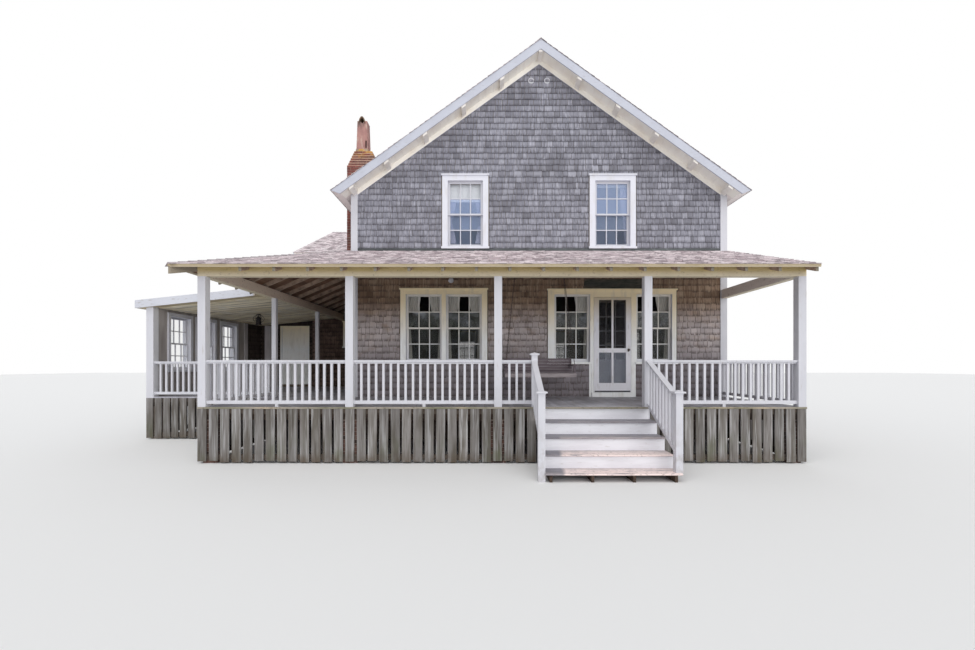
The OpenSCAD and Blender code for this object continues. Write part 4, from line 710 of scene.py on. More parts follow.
def lay_shingles(name, seat, along, up, outline, finish, slot, holes=(), course=0.134,
                 widths=(0.06, 0.19), butt=0.016, ragged=0.012, gap=0.007, seed=1, start=0.0,
                 hidden=None):
    """Courses of shingles over a flat outline, each thick at its foot and tilted over the course
    below."""
    chance = random.Random(seed)
    seat, along, up = Vector(seat), Vector(along).normalized(), Vector(up).normalized()
    out = along.cross(up)
    us, vs = [p[0] for p in outline], [p[1] for p in outline]
    verts, faces, tint, foot, spot = [], [], [], [], []
    least = 0.006
    v0 = start + math.floor((min(vs) - start) / course) * course
    patch = random.Random(seed + 1)
    while v0 < max(vs):
        u = min(us) - chance.uniform(0, widths[1])
        wave = patch.uniform(-0.004, 0.004)
        while u < max(us):
            width = chance.uniform(*widths)
            drop = chance.uniform(0, ragged) + wave
            shade_of = min(max(chance.gauss(0.5, 0.22), 0), 1)
            stain = chance.random()
            lift = butt * chance.uniform(0.8, 1.2)
            parts = [(u + gap / 2, v0 - drop, u + width - gap / 2, v0 + course + 0.004)]
            u += width
            for hole in holes:
                parts = [p for part in parts for p in cut(part, hole)]
            for a, b, c, d in parts:
                shape = clip([(a, b), (c, b), (c, d), (a, d)], outline)
                if not shape or min(max(p[i] for p in shape) - min(p[i] for p in shape)
                                    for i in (0, 1)) < least:
                    continue
                n, m = len(verts), len(shape)
                if hidden and hidden(seat + along * (sum(p[0] for p in shape) / m)
                                     + up * (sum(p[1] for p in shape) / m)):
                    continue
                for x, y in shape:
                    share = (y - v0) / course
                    verts.append(seat + along * x + up * y + out * (lift * (1.05 - 0.85 * share)))
                    tint.append(shade_of)
                    foot.append(1 - share)
                for x, y in shape:
                    verts.append(seat + along * x + up * y)
                    tint.append(edge_mark)
                    foot.append(1.0)
                spot += [stain] * (2 * m)
                faces.append(tuple(range(n, n + m)))
                for i in range(m):
                    j = (i + 1) % m
                    if shape[i][1] < v0 + course or shape[j][1] < v0 + course:
                        faces.append((n + m + i, n + m + j, n + j, n + i))
        v0 += course
    make_piece(name, verts, faces, finish, marks={"tint": tint, "foot": foot, "spot": spot})


def cedar(name, base, light, dark, butt, butt_shade_share, *extra):
    return coat(
        name, base,
        wash(light, 0.8, (26, 26, 2.2), 0.45, 0.65),
        wash(dark, 0.7, (1.1, 1.1, 1.4), 0.48, 0.7),
        wash(dark, 0.7, (55, 55, 3), 0.5, 0.68),
        over(dark, 0.55, mark=("spot", 0.12, 0.08)),
        over(light, 0.45, mark=("spot", 0.9, 0.94)),
        *extra,
        # Painted shade: each shingle darker towards its butt, and its butt and side faces in the
        # butt colour.
        wash(butt, butt_shade_share, (30, 30, 12), 0.3, 0.55, mark=("foot", 0.6, 1.0)),
        over(butt, mark=("tint", 1.1, 1.8)),
        rough=0.9, relief=((120, 120, 10), 0.0015), tint=0.17)


cedar_grey = cedar(
    "cedar_grey", (142, 142, 153), (173, 173, 184), (112, 111, 119), (56, 52, 58), 0.55)
cedar_brown = cedar(
    "cedar_brown", (148, 124, 104), (180, 158, 136), (104, 82, 66), (66, 54, 50), 0.62,
    wash((194, 186, 188), 0.85, (3, 3, 5), 0.15, 0.5, fall=(3.1, 2.5)),
    # Painted shade: the porch wall painted a darker grey below about 2 m, low under the porch roof.
    wash((122, 117, 124), 0.85, (3, 3, 5), 0.0, 0.4, fall=(2.3, 1.6)))
# The next two finishes are darker copies of the cedar, as painted shade: the first for the garden
# room's back and end walls under its roof, the second for the wing's front wall under the low
# roofs.
cedar_deep_shade = cedar(
    "cedar_deep_shade", (64, 54, 50), (84, 72, 66), (44, 37, 34), (28, 24, 22), 0.8)
cedar_shaded = cedar(
    "cedar_shaded", (104, 84, 76), (130, 110, 100), (72, 56, 50), (40, 32, 30), 0.7)
inner_board = coat(
    "wall_boards_inside", (120, 108, 94),
    wash((84, 74, 64), 0.8, (4, 4, 1), 0.4, 0.7),
    rough=0.9, relief=((40, 40, 8), 0.001))
room_board = coat(
    "garden_room_boards", (176, 170, 168),
    wash((128, 120, 116), 0.7, (5, 5, 1), 0.4, 0.7),
    rough=0.8, relief=((40, 40, 8), 0.001))
dress(inner_board, "front_wall_left", "front_wall_right", "front_wall_above", "left_wall",
      "right_wall", "back_wall", "wing_front_wall", "wing_gable_wall")
dress(room_board, "garden_wall")

ridge_z = 8.7362
roof_fall = 0.72
roof_thick = 0.17
half_w = 4.21
house_d = 11.2
wing_x = -7.0
wing_mid_y = 7.985
wing_ridge = 7.0698
wing_fall = 0.478
wing_thick = 0.15

# Every window as its centre, face, foot, turn, width and height.
ground_z, upper_z, knee_z = 1.735, 4.335, 4.1
ground_size, upper_size, knee_size = (0.805, 1.535), (0.79, 1.49), (0.79, 1.05)
upper_x = 1.66
pair_x = -2.144
pair_off = 0.4515
side_lights = 0.7375, 2.5925
wing_window_x = -5.605
front_list = [(x, 0, upper_z, 0, *upper_size) for x in (-upper_x, upper_x)] \
    + [(x, 0, ground_z, 0, *ground_size)
       for x in (pair_x - pair_off, pair_x + pair_off, *side_lights)]
right_list = [(half_w, y, ground_z, 90, *ground_size) for y in (2.0, 5.6, 9.2)] \
    + [(half_w, y, knee_z, 90, *knee_size) for y in (2.0, 9.2)]
back_list = [(x, house_d, upper_z, 180, *upper_size) for x in (-upper_x, upper_x)] \
    + [(x, house_d, ground_z, 180, *ground_size) for x in (pair_x, -pair_x, wing_window_x)] \
    + [(wing_window_x, house_d, knee_z, 180, *knee_size)]
kitchen_list = [(-5.45, wing_front, 2.29, 0, 0.84, 0.705)]
left_list = [(-half_w, 3.2, ground_z, -90, *ground_size)]
gable_list = [(wing_x, wing_mid_y, 4.45, -90, 0.79, 1.285)]
garden_list = [(garden_x, y, 1.545, -90, 0.7, 1.285) for y in (0.885, 1.88, 2.925)]
side_list = right_list + back_list + kitchen_list + left_list + gable_list + garden_list
sill_drop = 0.045


def case_holes(windows, axis, sign, head=0.14):
    """Outlines of window cases on a wall, where axis is the wall's run and sign its direction."""
    holes = []
    for window in windows:
        centre, half, foot = sign * window[axis], window[4] / 2 + 0.12, window[2]
        holes.append((centre - half, foot - sill_drop, centre + half, foot + window[5] + head))
    return holes


def roof_under(x):
    return ridge_z - roof_fall * abs(x) - roof_thick


def wing_top(y):
    return wing_ridge - wing_fall * abs(y - wing_mid_y)


def wing_under(y):
    return wing_top(y) - wing_thick


def oblong(u0, v0, u1, v1):
    return [(u0, v0), (u1, v0), (u1, v1), (u0, v1)]


def shingle_wall(name, seat, along, outline, finish, holes=(), seed=1, **laying):
    lay_shingles(name, seat, along, (0, 0, 1), outline, finish, "wall_shingles", holes, seed=seed,
                 start=0.02, **laying)


porch_laying = dict(course=0.138, widths=(0.07, 0.2), ragged=0.03, butt=0.013)
eaves_under = roof_under(half_w)
gable_slopes = [(half_w, eaves_under), (0, roof_under(0)), (-half_w, eaves_under)]
case_lo, case_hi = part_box("door_surround")
name_lo, name_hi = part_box("name_board")
door_x0, door_x1, door_head = 1.127, 2.178, 3.29
pair_reach = pair_off + ground_size[0] / 2 + 0.145
low_holes = [
    (pair_x - pair_reach, ground_z - sill_drop,
     pair_x + pair_reach, ground_z + ground_size[1] + 0.13),
    (case_lo.x, ground_z - sill_drop, case_hi.x, case_hi.z),
    (door_x0, deck_top, door_x1, door_head),
    (name_lo.x, name_lo.z - 0.01, name_hi.x, name_hi.z)]
high_holes = [(x - 0.54, upper_z - sill_drop, x + 0.54, upper_z + upper_size[1] + 0.142)
              for x in (-upper_x, upper_x)]
wall_foot = 0.79
corner = 0.125
wing_end = -half_w - 0.02
chimney_near, chimney_far = 1.0, 1.6
past_top = 9
chimney_gap = (-chimney_far, 0, -chimney_near, past_top)
front = (0, 0, 0), (1, 0, 0)
back = (0, house_d, 0), (-1, 0, 0)
left = (-half_w, 0, 0), (0, -1, 0)
wing_face = (0, wing_front, 0), (1, 0, 0)
shingle_wall("front_shingles_porch", *front, oblong(-half_w, deck_top, half_w, wall_top - 0.01),
             cedar_brown, low_holes, 61, **porch_laying)
shingle_wall("front_shingles_gable", *front,
             [(-half_w, wall_top + 0.05), (half_w, wall_top + 0.05)] + gable_slopes,
             cedar_grey, high_holes, 62)
shingle_wall("right_shingles", (half_w, 0, 0), (0, 1, 0),
             oblong(corner, wall_foot, house_d - corner, eaves_under),
             cedar_grey, case_holes(right_list, 1, 1), 63)
shingle_wall("back_shingles", *back,
             [(-half_w + corner, wall_foot), (half_w, wall_foot), (half_w, eaves_under),
              (0, roof_under(0)), (-half_w + corner, eaves_under)],
             cedar_grey, case_holes(back_list[:4], 0, -1), 64)
shingle_wall("wing_back_shingles", *back, oblong(half_w, wall_foot, -wing_x, wing_under(house_d)),
             cedar_grey, case_holes(back_list[4:], 0, -1), 65)
shingle_wall("low_back_shingles", *back,
             [(-wing_x, wall_foot), (-garden_x, wall_foot), (-garden_x, garden_under(garden_x)),
              (-wing_x, garden_under(wing_x))],
             cedar_grey, seed=66)
shingle_wall("left_shingles_porch", *left, oblong(-wing_front, deck_top, -corner, wall_top - 0.04),
             cedar_brown, case_holes(left_list, 1, -1) + [chimney_gap], 67, **porch_laying)
shingle_wall("left_shingles_upper", *left,
             oblong(-wing_front, wall_top + 0.05, -corner, eaves_under),
             cedar_grey, [chimney_gap], 68)
shingle_wall("wing_front_shingles_garden", *wing_face,
             [(wing_x, deck_top), (eave_x, deck_top), (eave_x, eave_z - 0.1),
              (wing_x, garden_height(wing_x) - 0.1)],
             cedar_shaded, seed=69, **porch_laying)
shingle_wall("wing_front_shingles_porch", *wing_face,
             [(eave_x, deck_top), (wing_end, deck_top), (wing_end, wall_top - 0.06),
              (eave_x, eave_z - 0.06)],
             cedar_shaded, case_holes(kitchen_list, 0, 1), 74, **porch_laying)
shingle_wall("wing_front_shingles_upper", *wing_face,
             [(wing_x, garden_height(wing_x) + 0.02), (eave_x, eave_z + 0.02),
              (wing_end, wall_top + 0.02), (wing_end, wing_under(wing_front)),
              (wing_x, wing_under(wing_front))],
             cedar_grey, seed=75)
garden_end = garden_inside - 0.01
garden_door_hole = (-8.09, deck_top, -7.1, 2.99)
strip_hole = (-8.6, deck_top, -8.38, past_top)
shingle_wall("garden_back_shingles", *wing_face,
             [(garden_end, deck_top), (wing_x, deck_top), (wing_x, garden_under(wing_x) - 0.01),
              (garden_end, garden_under(garden_end) - 0.01)],
             cedar_deep_shade, [garden_door_hole, strip_hole], 70)
end_top = garden_under(garden_inside) - 0.012
shingle_wall("garden_end_shingles", (garden_end + 0.0001, 0, 0), (0, 1, 0),
             oblong(3.91, deck_top, wing_foot, end_top), cedar_deep_shade, seed=76)
strip_grey = coat(
    "upright_board_grey", (206, 202, 206),
    wash((164, 158, 160), 0.7, (12, 12, 1.5), 0.4, 0.7),
    rough=0.8, relief=((60, 60, 8), 0.001), tint=0.08)
strips = [((-8.59, wing_front - 0.026, deck_top),
           (-8.39, wing_front - 0.0005, garden_under(-8.59) - 0.012)),
          ((-8.7095, 3.72, deck_top), (-8.688, 3.9, end_top))]
nail_boards("garden_room_strips", strips, strip_grey, seed=73, ease=0.002)
shingle_wall("wing_gable_shingles", (wing_x, 0, 0), (0, -1, 0),
             [(-house_d, 3.26), (-wing_front, 3.26), (-wing_front, wing_under(wing_front)),
              (-wing_mid_y, wing_under(wing_mid_y)), (-house_d, wing_under(house_d))],
             cedar_grey, case_holes(gable_list, 1, -1), 71)
shingle_wall("garden_shingles", (garden_x, 0, 0), (0, -1, 0),
             oblong(-house_d, wall_foot, -0.16, garden_under(garden_x)), cedar_grey,
             case_holes(garden_list, 1, -1, head=0.09) + [(-wing_front, 0, 0, deck_top)], 72)

# Roof shingles: mineral-faced strips nailed in courses on all slopes, faded to a pinkish grey, with
# darker tabs and stains. Folded caps, each lapped by the next, close the ridges and the hip.


def mineral_face(name, edge):
    return coat(
        name, (229, 221, 223),
        wash((198, 189, 193), 0.6, 1.6, 0.45, 0.68),
        wash((244, 237, 238), 0.8, 26, 0.5, 0.7),
        # Painted light: the face is painted lighter above about 5 m, on the main and wing roofs.
        wash((244, 235, 237), 0.7, 2, 0.1, 0.5, fall=(4.9, 5.3)),
        wash((140, 129, 134), 0.8, (7, 9, 16), 0.56, 0.64),
        # Butt and side faces take the edge colour; the dark dashes on them are painted shadow under
        # the courses.
        over(edge, 0.8, mark=("tint", 1.1, 1.8)),
        wash((86, 74, 80), 0.85, (5, 5, 9), 0.5, 0.56, mark=("tint", 1.1, 1.8)),
        over((136, 124, 129), 0.7, mark=("spot", 0.2, 0.14)),
        over((176, 162, 167), 0.8, mark=("spot", 0.78, 0.84)),
        rough=0.95, relief=(300, 0.0015), tint=0.17)


# Light butt edges on most slopes; on the main roof the butts are painted dark, as painted shade.
slate_mix = mineral_face("roof_shingle_face", (168, 153, 158))
slate_main = mineral_face("roof_shingle_face_main", (96, 92, 100))
roof_under_paint = coat(
    "roof_underside", (190, 176, 146),
    wash((162, 146, 116), 0.7, (3, 9, 3), 0.4, 0.7),
    over((240, 230, 226), fall=(4.5, 4.8)),
    rough=0.7, relief=(40, 0.0008))
dress(roof_under_paint, "main_roof_left", "main_roof_right", "wing_roof", "porch_roof_front",
      "porch_roof_left", "garden_roof")
lip = 0.012


def shingle_roof(name, seat, along, up, outline, seed, finish=slate_mix, holes=(), hidden=None):
    lay_shingles(name, seat, along, up, outline, finish, "roof_shingles", holes, course=0.14,
                 widths=(0.09, 0.22), butt=0.014, gap=0.008, seed=seed, hidden=hidden)


main_eave = 4.555
main_eave_z = ridge_z - roof_fall * main_eave
main_len = math.hypot(main_eave, roof_fall * main_eave)
roof_y0, roof_y1 = -0.4, 11.6
main_slope = oblong(-lip, -lip, roof_y1 - roof_y0 + lip, main_len)
shingle_roof("main_roof_shingles_right", (main_eave, roof_y0, main_eave_z), (0, 1, 0),
             (-1, 0, roof_fall), main_slope, 81, slate_main)
shingle_roof("main_roof_shingles_left", (-main_eave, roof_y1, main_eave_z), (0, -1, 0),
             (1, 0, roof_fall), main_slope, 82, slate_main,
             [(roof_y1 - chimney_far, -0.1, roof_y1 - chimney_near, 0.82)],
             hidden=lambda p: p.x < -2.2 and wing_top(p.y) > p.z + 0.03)
wing_eave_y = wing_front - 0.43
wing_run = wing_mid_y - wing_eave_y
wing_len = math.hypot(wing_run, wing_run * wing_fall)
wing_eave_z = wing_top(wing_eave_y)
valley_low, valley_high = -4.735, -2.314
rake_x = wing_x - 0.455
shingle_roof("wing_roof_shingles_front", (rake_x, wing_eave_y, wing_eave_z),
             (1, 0, 0), (0, 1, wing_fall),
             [(-lip, -lip), (valley_low - rake_x, -lip),
              (valley_high - rake_x, wing_len), (-lip, wing_len)], 83)
shingle_roof("wing_roof_shingles_back", (valley_low, 2 * wing_mid_y - wing_eave_y, wing_eave_z),
             (-1, 0, 0), (0, -1, wing_fall),
             [(0, -lip), (valley_low - rake_x + lip, -lip), (valley_low - rake_x + lip, wing_len),
              (valley_low - valley_high, wing_len)], 84)
front_len = math.hypot(-eave_y, wall_top - eave_z) - 0.01
side_len = math.hypot(hip_run, wall_top - eave_z) - 0.01
porch_end = porch_hi.x - eave_x + 0.006
shingle_roof("porch_roof_shingles_front", (eave_x, eave_y, eave_z), (1, 0, 0), (0, 1, front_slope),
             [(-lip, -lip), (porch_end, -lip), (porch_end, front_len), (hip_run, front_len)], 85)
shingle_roof("porch_roof_shingles_left", (eave_x, wing_front, eave_z),
             (0, -1, 0), (1, 0, side_slope),
             [(0.015, -lip), (wing_front - eave_y + lip, -lip), (wing_front, side_len),
              (0.015, side_len)], 86,
             holes=[(wing_front - chimney_far, 1.86, wing_front - chimney_near, past_top)])
garden_eave = -9.06 + 0.025
low_back = 11.3
shingle_roof("garden_roof_shingles", (garden_eave, wing_front, garden_height(garden_eave)),
             (0, -1, 0), (1, 0, garden_rise), oblong(0, 0, wing_front + 0.05, 2.66), 87)
shingle_roof("low_roof_shingles", (garden_eave, low_back, garden_height(garden_eave)),
             (0, -1, 0), (1, 0, garden_rise), oblong(0, 0, low_back - wing_front, 2.02), 88)


cap_faces = [(0, 1, 7, 6), (1, 2, 8, 7), (3, 9, 10, 4), (4, 10, 11, 5), (0, 3, 4, 1), (1, 4, 5, 2),
             (0, 6, 9, 3), (2, 5, 11, 8), (6, 7, 10, 9), (7, 8, 11, 10)]


def lay_caps(name, start, end, side_a, side_b, seed):
    """Folded caps along a ridge or hip, each with its foot over the head of the one before."""
    start, end = Vector(start), Vector(end)
    run = end - start
    count = round(run.length / 0.15)
    chance = random.Random(seed)
    arms = [Vector(side_a).normalized() * 0.13, Vector(side_b).normalized() * 0.13]
    rise = Vector((0, 0, 1))
    verts, faces, tint = [], [], []
    for i in range(count):
        a = start + run * (i / count)
        b = start + run * ((i + 1.12) / count)
        n = len(verts)
        for point, lift in ((a, 0.024), (b, 0.012)):
            if (point - start).length > run.length:
                point = end
            for t in (0.0, -0.008):
                verts += [point + arms[0] + rise * (lift - 0.006 + t),
                          point + rise * (lift + 0.004 + t),
                          point + arms[1] + rise * (lift - 0.006 + t)]
        faces += [tuple(n + i for i in face) for face in cap_faces]
        tint += [chance.random()] * 12
    make_piece(name, verts, faces, slate_mix, marks={"tint": tint})


lay_caps("main_ridge_caps", (0, roof_y0 - 0.008, ridge_z), (0, roof_y1 + 0.008, ridge_z),
         (-1, 0, -roof_fall), (1, 0, -roof_fall), 91)
lay_caps("wing_ridge_caps", (rake_x, wing_mid_y, wing_ridge), (valley_high, wing_mid_y, wing_ridge),
         (0, -1, -wing_fall), (0, 1, -wing_fall), 92)
hip_dir = Vector((hip_run, -eave_y, 0)).normalized()
hip_side = Vector((hip_dir.y, -hip_dir.x, 0))
lay_caps("porch_hip_caps", (eave_x, eave_y, eave_z), (wall_left - 0.02, -0.03, wall_top - 0.008),
         hip_side - Vector((0, 0, front_slope * 0.64)),
         -hip_side - Vector((0, 0, side_slope * 0.82)), 93)

# Flashing: strips of dull sheet lead, turned up the wall above the porch roof and up the brick on
# every side of the chimney, where shingles would let water in.
lead = coat(
    "lead_sheet", (80, 84, 86),
    wash((58, 60, 62), 0.8, (2.5, 2.5, 9), 0.4, 0.7),
    wash((122, 124, 128), 0.5, 12, 0.55, 0.75),
    rough=0.5, metal=0.4, relief=(20, 0.002), tint=0.06)
sheet = 0.003
wall_strips = ((-half_w, -0.02, half_w, -0.016),
               (-half_w - 0.02, 0.13, -half_w - 0.016, chimney_near),
               (-half_w - 0.02, chimney_far, -half_w - 0.016, wing_front))
flashing = [((x0, y0, wall_top - 0.012), (x1, y1, wall_top + 0.055))
            for x0, y0, x1, y1 in wall_strips]
near, far = chimney_lo.y - 0.012, chimney_lo.y + 0.612
porch_z = eave_z + side_slope * (chimney_lo.x - eave_x)
main_z = ridge_z + roof_fall * chimney_hi.x
flashing.append(((chimney_lo.x - 0.012, near, porch_z - 0.03),
                 (chimney_lo.x - 0.009, far, porch_z + 0.11)))
for y0 in (near, far - sheet):
    porch_run = [(x, eave_z + side_slope * (x - eave_x)) for x in (chimney_lo.x - 0.01, wall_left)]
    main_run = [(x, ridge_z + roof_fall * x) for x in (chimney_lo.x + 0.085, chimney_hi.x + 0.01)]
    for run, up in ((porch_run, 0.11), (main_run, 0.12)):
        flashing.append([(x, y, z + h)
                         for x, z in run for y in (y0, y0 + sheet) for h in (-0.03, up)])
flashing.append(((chimney_hi.x + 0.009, near, main_z - 0.03),
                 (chimney_hi.x + 0.012, far, main_z + 0.12)))
nail_boards("lead_flashing", flashing, lead, seed=94)

# Gable overhang: cream soffit boards nailed up on short outlooker blocks, with a cream frieze
# along the wall under them and the white rake board outside.
outlooker_paint = coat(
    "outlooker_paint", (248, 243, 236),
    wash((226, 218, 208), 0.6, 5, 0.45, 0.7),
    rough=0.6, relief=(50, 0.0008))
dress(outlooker_paint, "roof_outlookers")
soffit, frieze = [], []
soffit_step, soffit_board, soffit_end = 0.168, 0.164, 4.36


def board_gables(boards, side, x0, x1, y0, y1, drop, thick):
    """A board along one slope of the front gable, and its like at the back."""
    points = [(side * x, y, roof_under(x) - drop - t)
              for x in (x0, x1) for y in (y0, y1) for t in (thick, 0)]
    boards += [points, [(x, house_d - y, z) for x, y, z in points]]


frieze_cuts = [0.001, 1.4, 2.8, 4.084]
for side in (-1, 1):
    for x0 in (0.02 + i * soffit_step for i in range(26)):
        board_gables(soffit, side, x0, min(x0 + soffit_board, soffit_end), -0.374, -0.026, 0, 0.007)
    for x0, x1 in zip(frieze_cuts, frieze_cuts[1:]):
        board_gables(frieze, side, x0, x1 - 0.001, -0.031, -0.0252, 0.0075, 0.117)
soffit_cream = coat(
    "soffit_cream", (254, 250, 242),
    wash((238, 228, 214), 0.6, 2, 0.45, 0.7),
    rough=0.6, relief=((40, 8, 40), 0.001), tint=0.03)
nail_boards("gable_soffit_boards", soffit, soffit_cream, seed=95)
nail_boards("gable_frieze_boards", frieze, soffit_cream, seed=98)

# Chimney: red brick in running bond with pale mortar, stepping in under a rough mortar crown that
# yellow lichen has covered. On it stands a square clay pot with soot and rain stains, and a curved
# clay tile keeps the rain off its mouth.
chimney_brick = coat(
    "chimney_brick", (138, 82, 74),
    wash((98, 60, 58), 0.85, (12, 12, 18), 0.42, 0.68),
    wash((178, 128, 112), 0.6, (6, 6, 9), 0.55, 0.78),
    wash((204, 154, 78), 0.95, (7, 7, 9), 0.42, 0.6, fall=(6.78, 7.0)),
    wash((90, 84, 78), 0.6, (3, 3, 2), 0.5, 0.7),
    rough=0.9, relief=(90, 0.003), tint=0.3)
crown_mortar = coat(
    "chimney_mortar", (172, 158, 146),
    wash((206, 160, 84), 1.0, 8, 0.4, 0.58, fall=(6.75, 7.0)),
    wash((110, 98, 90), 0.7, 7, 0.5, 0.72),
    rough=0.95, relief=(120, 0.003))
dress(crown_mortar, "chimney")
cx0, cx1, cy0, cy1 = chimney_lo.x, chimney_hi.x, chimney_lo.y, chimney_hi.y
shoulder_z, shoulder_h, neck = 6.62, 0.4, 0.44
cmx, cmy = (cx0 + cx1) / 2, (cy0 + cy1) / 2
shoulder_steps = []
for i in range(1, 7):
    half_x, half_y = ((wide - (wide - neck) * i / 6) / 2 for wide in (cx1 - cx0, cy1 - cy0))
    shoulder_steps.append((half_x, half_y, shoulder_z + shoulder_h * (i - 1) / 6))


def four_faces(x0, x1, y0, y1, z0, z1):
    return [((x0, y0), (1, 0), x1 - x0, z0, z1), ((x1, y0), (0, 1), y1 - y0, z0, z1),
            ((x1, y1), (-1, 0), x1 - x0, z0, z1), ((x0, y1), (0, -1), y1 - y0, z0, z1)]


chimney_walls = four_faces(cx0, cx1, cy0, cy1, deck_top + 0.002, shoulder_z)
for half_x, half_y, z in shoulder_steps:
    chimney_walls += four_faces(cmx - half_x, cmx + half_x, cmy - half_y, cmy + half_y,
                                z, z + 0.058)
lay_bricks("chimney_bricks", chimney_walls, chimney_brick, 96)
ledge_mortar = coat(
    "ledge_mortar", (196, 164, 146),
    wash((204, 150, 84), 0.9, 6, 0.4, 0.6, fall=(6.75, 7.0)),
    wash((150, 116, 104), 0.6, 12, 0.5, 0.7),
    rough=0.95, relief=(120, 0.002))
ledge_out = 0.021
ledges = [((cmx - half_x - ledge_out, cmy - half_y - ledge_out, z - 0.005),
           (cmx + half_x + ledge_out, cmy + half_y + ledge_out, z + 0.013))
          for half_x, half_y, z in shoulder_steps]
nail_boards("chimney_ledges", ledges, ledge_mortar, seed=97, ease=0.004)
pot_clay = coat(
    "pot_clay", (176, 134, 127),
    wash((146, 106, 104), 0.8, (7, 7, 3), 0.42, 0.7),
    wash((92, 82, 78), 0.9, (9, 9, 5), 0.45, 0.65, fall=(7.55, 7.8)),
    wash((214, 196, 180), 0.6, (14, 14, 4), 0.55, 0.75),
    rough=0.85, relief=(70, 0.002))
dress(pot_clay, "chimney_flue")
tile_clay = coat(
    "rain_tile_clay", (122, 96, 78),
    wash((84, 72, 60), 0.9, 16, 0.4, 0.65),
    wash((170, 160, 140), 0.7, 22, 0.55, 0.7),
    rough=0.9, relief=(90, 0.002))
pot_lo, pot_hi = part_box("chimney_flue")
tile_x, tile_low, tile_high = (pot_lo.x + pot_hi.x) / 2 - 0.008, 7.775, 7.945
tile_outside = ((0.084, 0.0), (0.066, 0.6), (0.03, 0.93), (0.0, 1.0))
tile_inside = ((0.066, 0.0), (0.05, 0.5), (0.0, 0.84))
verts = []
for y, drop in ((pot_lo.y + 0.004, 0.0), (pot_hi.y - 0.004, 0.012)):
    for half, rise in tile_outside + tile_inside:
        for s in ((-1, 1) if half else (1,)):
            verts.append((tile_x + s * half, y, tile_low + (tile_high - tile_low) * rise - drop))
# outer path left foot to right foot, then the inner one back
path = [0, 2, 4, 6, 5, 3, 1, 8, 10, 11, 9, 7]
faces = [(path[i], path[(i + 1) % 12], path[(i + 1) % 12] + 12, path[i] + 12) for i in range(12)]
faces += [(0, 2, 9, 7), (2, 4, 11, 9), (4, 6, 11), (6, 5, 11), (5, 3, 10, 11), (3, 1, 8, 10)]
faces += [tuple(i + 12 for i in reversed(face)) for face in faces[12:18]]
make_piece("pot_rain_tile", verts, faces, tile_clay)

# Windows: double-hung sashes with six small panes each, or three in the low window of the wing.
# Bars are softwood, painted with the sash, and the panes are old drawn glass bedded in putty. The
# sky and trees they give back are painted into the panes as pale, blue and dark green patches,
# a painted reflection that also makes them look a little cloudy.
# Casing paint, with painted shade and light: front faces are painted cream between about 2.2 and
# 3.9 m, as painted shade under the porch roof, and near pure white below, as painted light. Faces
# turned aside or back, those at the garden end and those upstairs keep a plain white.
case_paint = coat(
    "case_paint", (255, 238, 200),
    over((252, 254, 255), fall=(3.1, 2.2)),
    over((224, 225, 234), fall=(3.9, 4.2)),
    over((210, 211, 220), side=(0, 0.3, 0.9)),
    over((210, 211, 220), side=(0, -0.3, -0.9)),
    over((210, 211, 220), side=(1, 0.3, 0.9)),
    over((210, 211, 220), fall=(-8.5, -8.6, 0)),
    wash((196, 190, 180), 0.35, (9, 9, 2), 0.52, 0.72),
    rough=0.55, relief=((40, 40, 8), 0.0008))
dress(case_paint, "window_casings", "door_surround", "door_frame", "garden_door")
bar = 0.021
stile = 0.05
meeting_rail = 0.018
pane_in, pane_half = 0.0175, 0.001


def to_wall(window, x, y, z):
    """Point of a window, drawn with its face at Y = 0, at its place in the wall."""
    turn = math.radians(window[3])
    return (window[0] + x * math.cos(turn) - y * math.sin(turn),
            window[1] + x * math.sin(turn) + y * math.cos(turn), window[2] + z)


def wall_box(window, lo, hi):
    return [to_wall(window, *corner) for corner in box_corners(lo, hi)]


def sash_lights(window):
    """Glazed openings of the lower and the upper sash: x0, z0, x1, z1, and the sash's face."""
    half, high = window[4] / 2 - stile, window[5]
    return ((-half, 0.075, half, high / 2 - meeting_rail, 0.078),
            (-half, high / 2 + meeting_rail, half, high - 0.05, 0.04))


def reflection(window, upper, row, top_row):
    """How much of the sky a pane gives back, at its foot and at its head."""
    if window in front_list[:2]:
        if top_row:
            share = 0.0 if window[0] < 0 else 0.3
        else:
            share = chance.uniform(0.32, 0.38) - (0 if upper else 0.09 if row else 0.2)
        return share, share
    if window in garden_list:
        return 0.0, 0.0
    if window in front_list:
        return (0.04, 0.04) if top_row else (0.45, 1.0) if upper else (0.2, 0.24)
    return (0.2, 0.25) if top_row else (0.45, 0.6)


bars, panes, mirror, blue = [], [], [], []
chance = random.Random(101)
cols = 3
for window in front_list + side_list:
    rows = 2 if window[5] > 0.9 else 1
    for upper, (x0, z0, x1, z1, face) in enumerate(sash_lights(window)):
        xs = [x0 + (x1 - x0) * i / cols for i in range(cols + 1)]
        zs = [z0 + (z1 - z0) * j / rows for j in range(rows + 1)]
        for x in xs[1:-1]:
            bars.append(wall_box(window, (x - bar / 2, face + 0.006, z0),
                                 (x + bar / 2, face + 0.03, z1)))
        for z in zs[1:-1]:
            bars.append(wall_box(window, (x0, face + 0.007, z - bar / 2),
                                 (x1, face + 0.029, z + bar / 2)))
        for i in range(cols):
            for j in range(rows):
                panes.append(wall_box(window, (xs[i], face + pane_in - pane_half, zs[j]),
                                      (xs[i + 1], face + pane_in + pane_half, zs[j + 1])))
                shares = reflection(window, upper, j, upper and j == rows - 1)
                mirror += [*shares] * 4
                blue += [*shares] * 4 if window[2] > 3.9 else [0.0] * 8
nail_boards("glazing_bars", bars, sash_paint, seed=102)
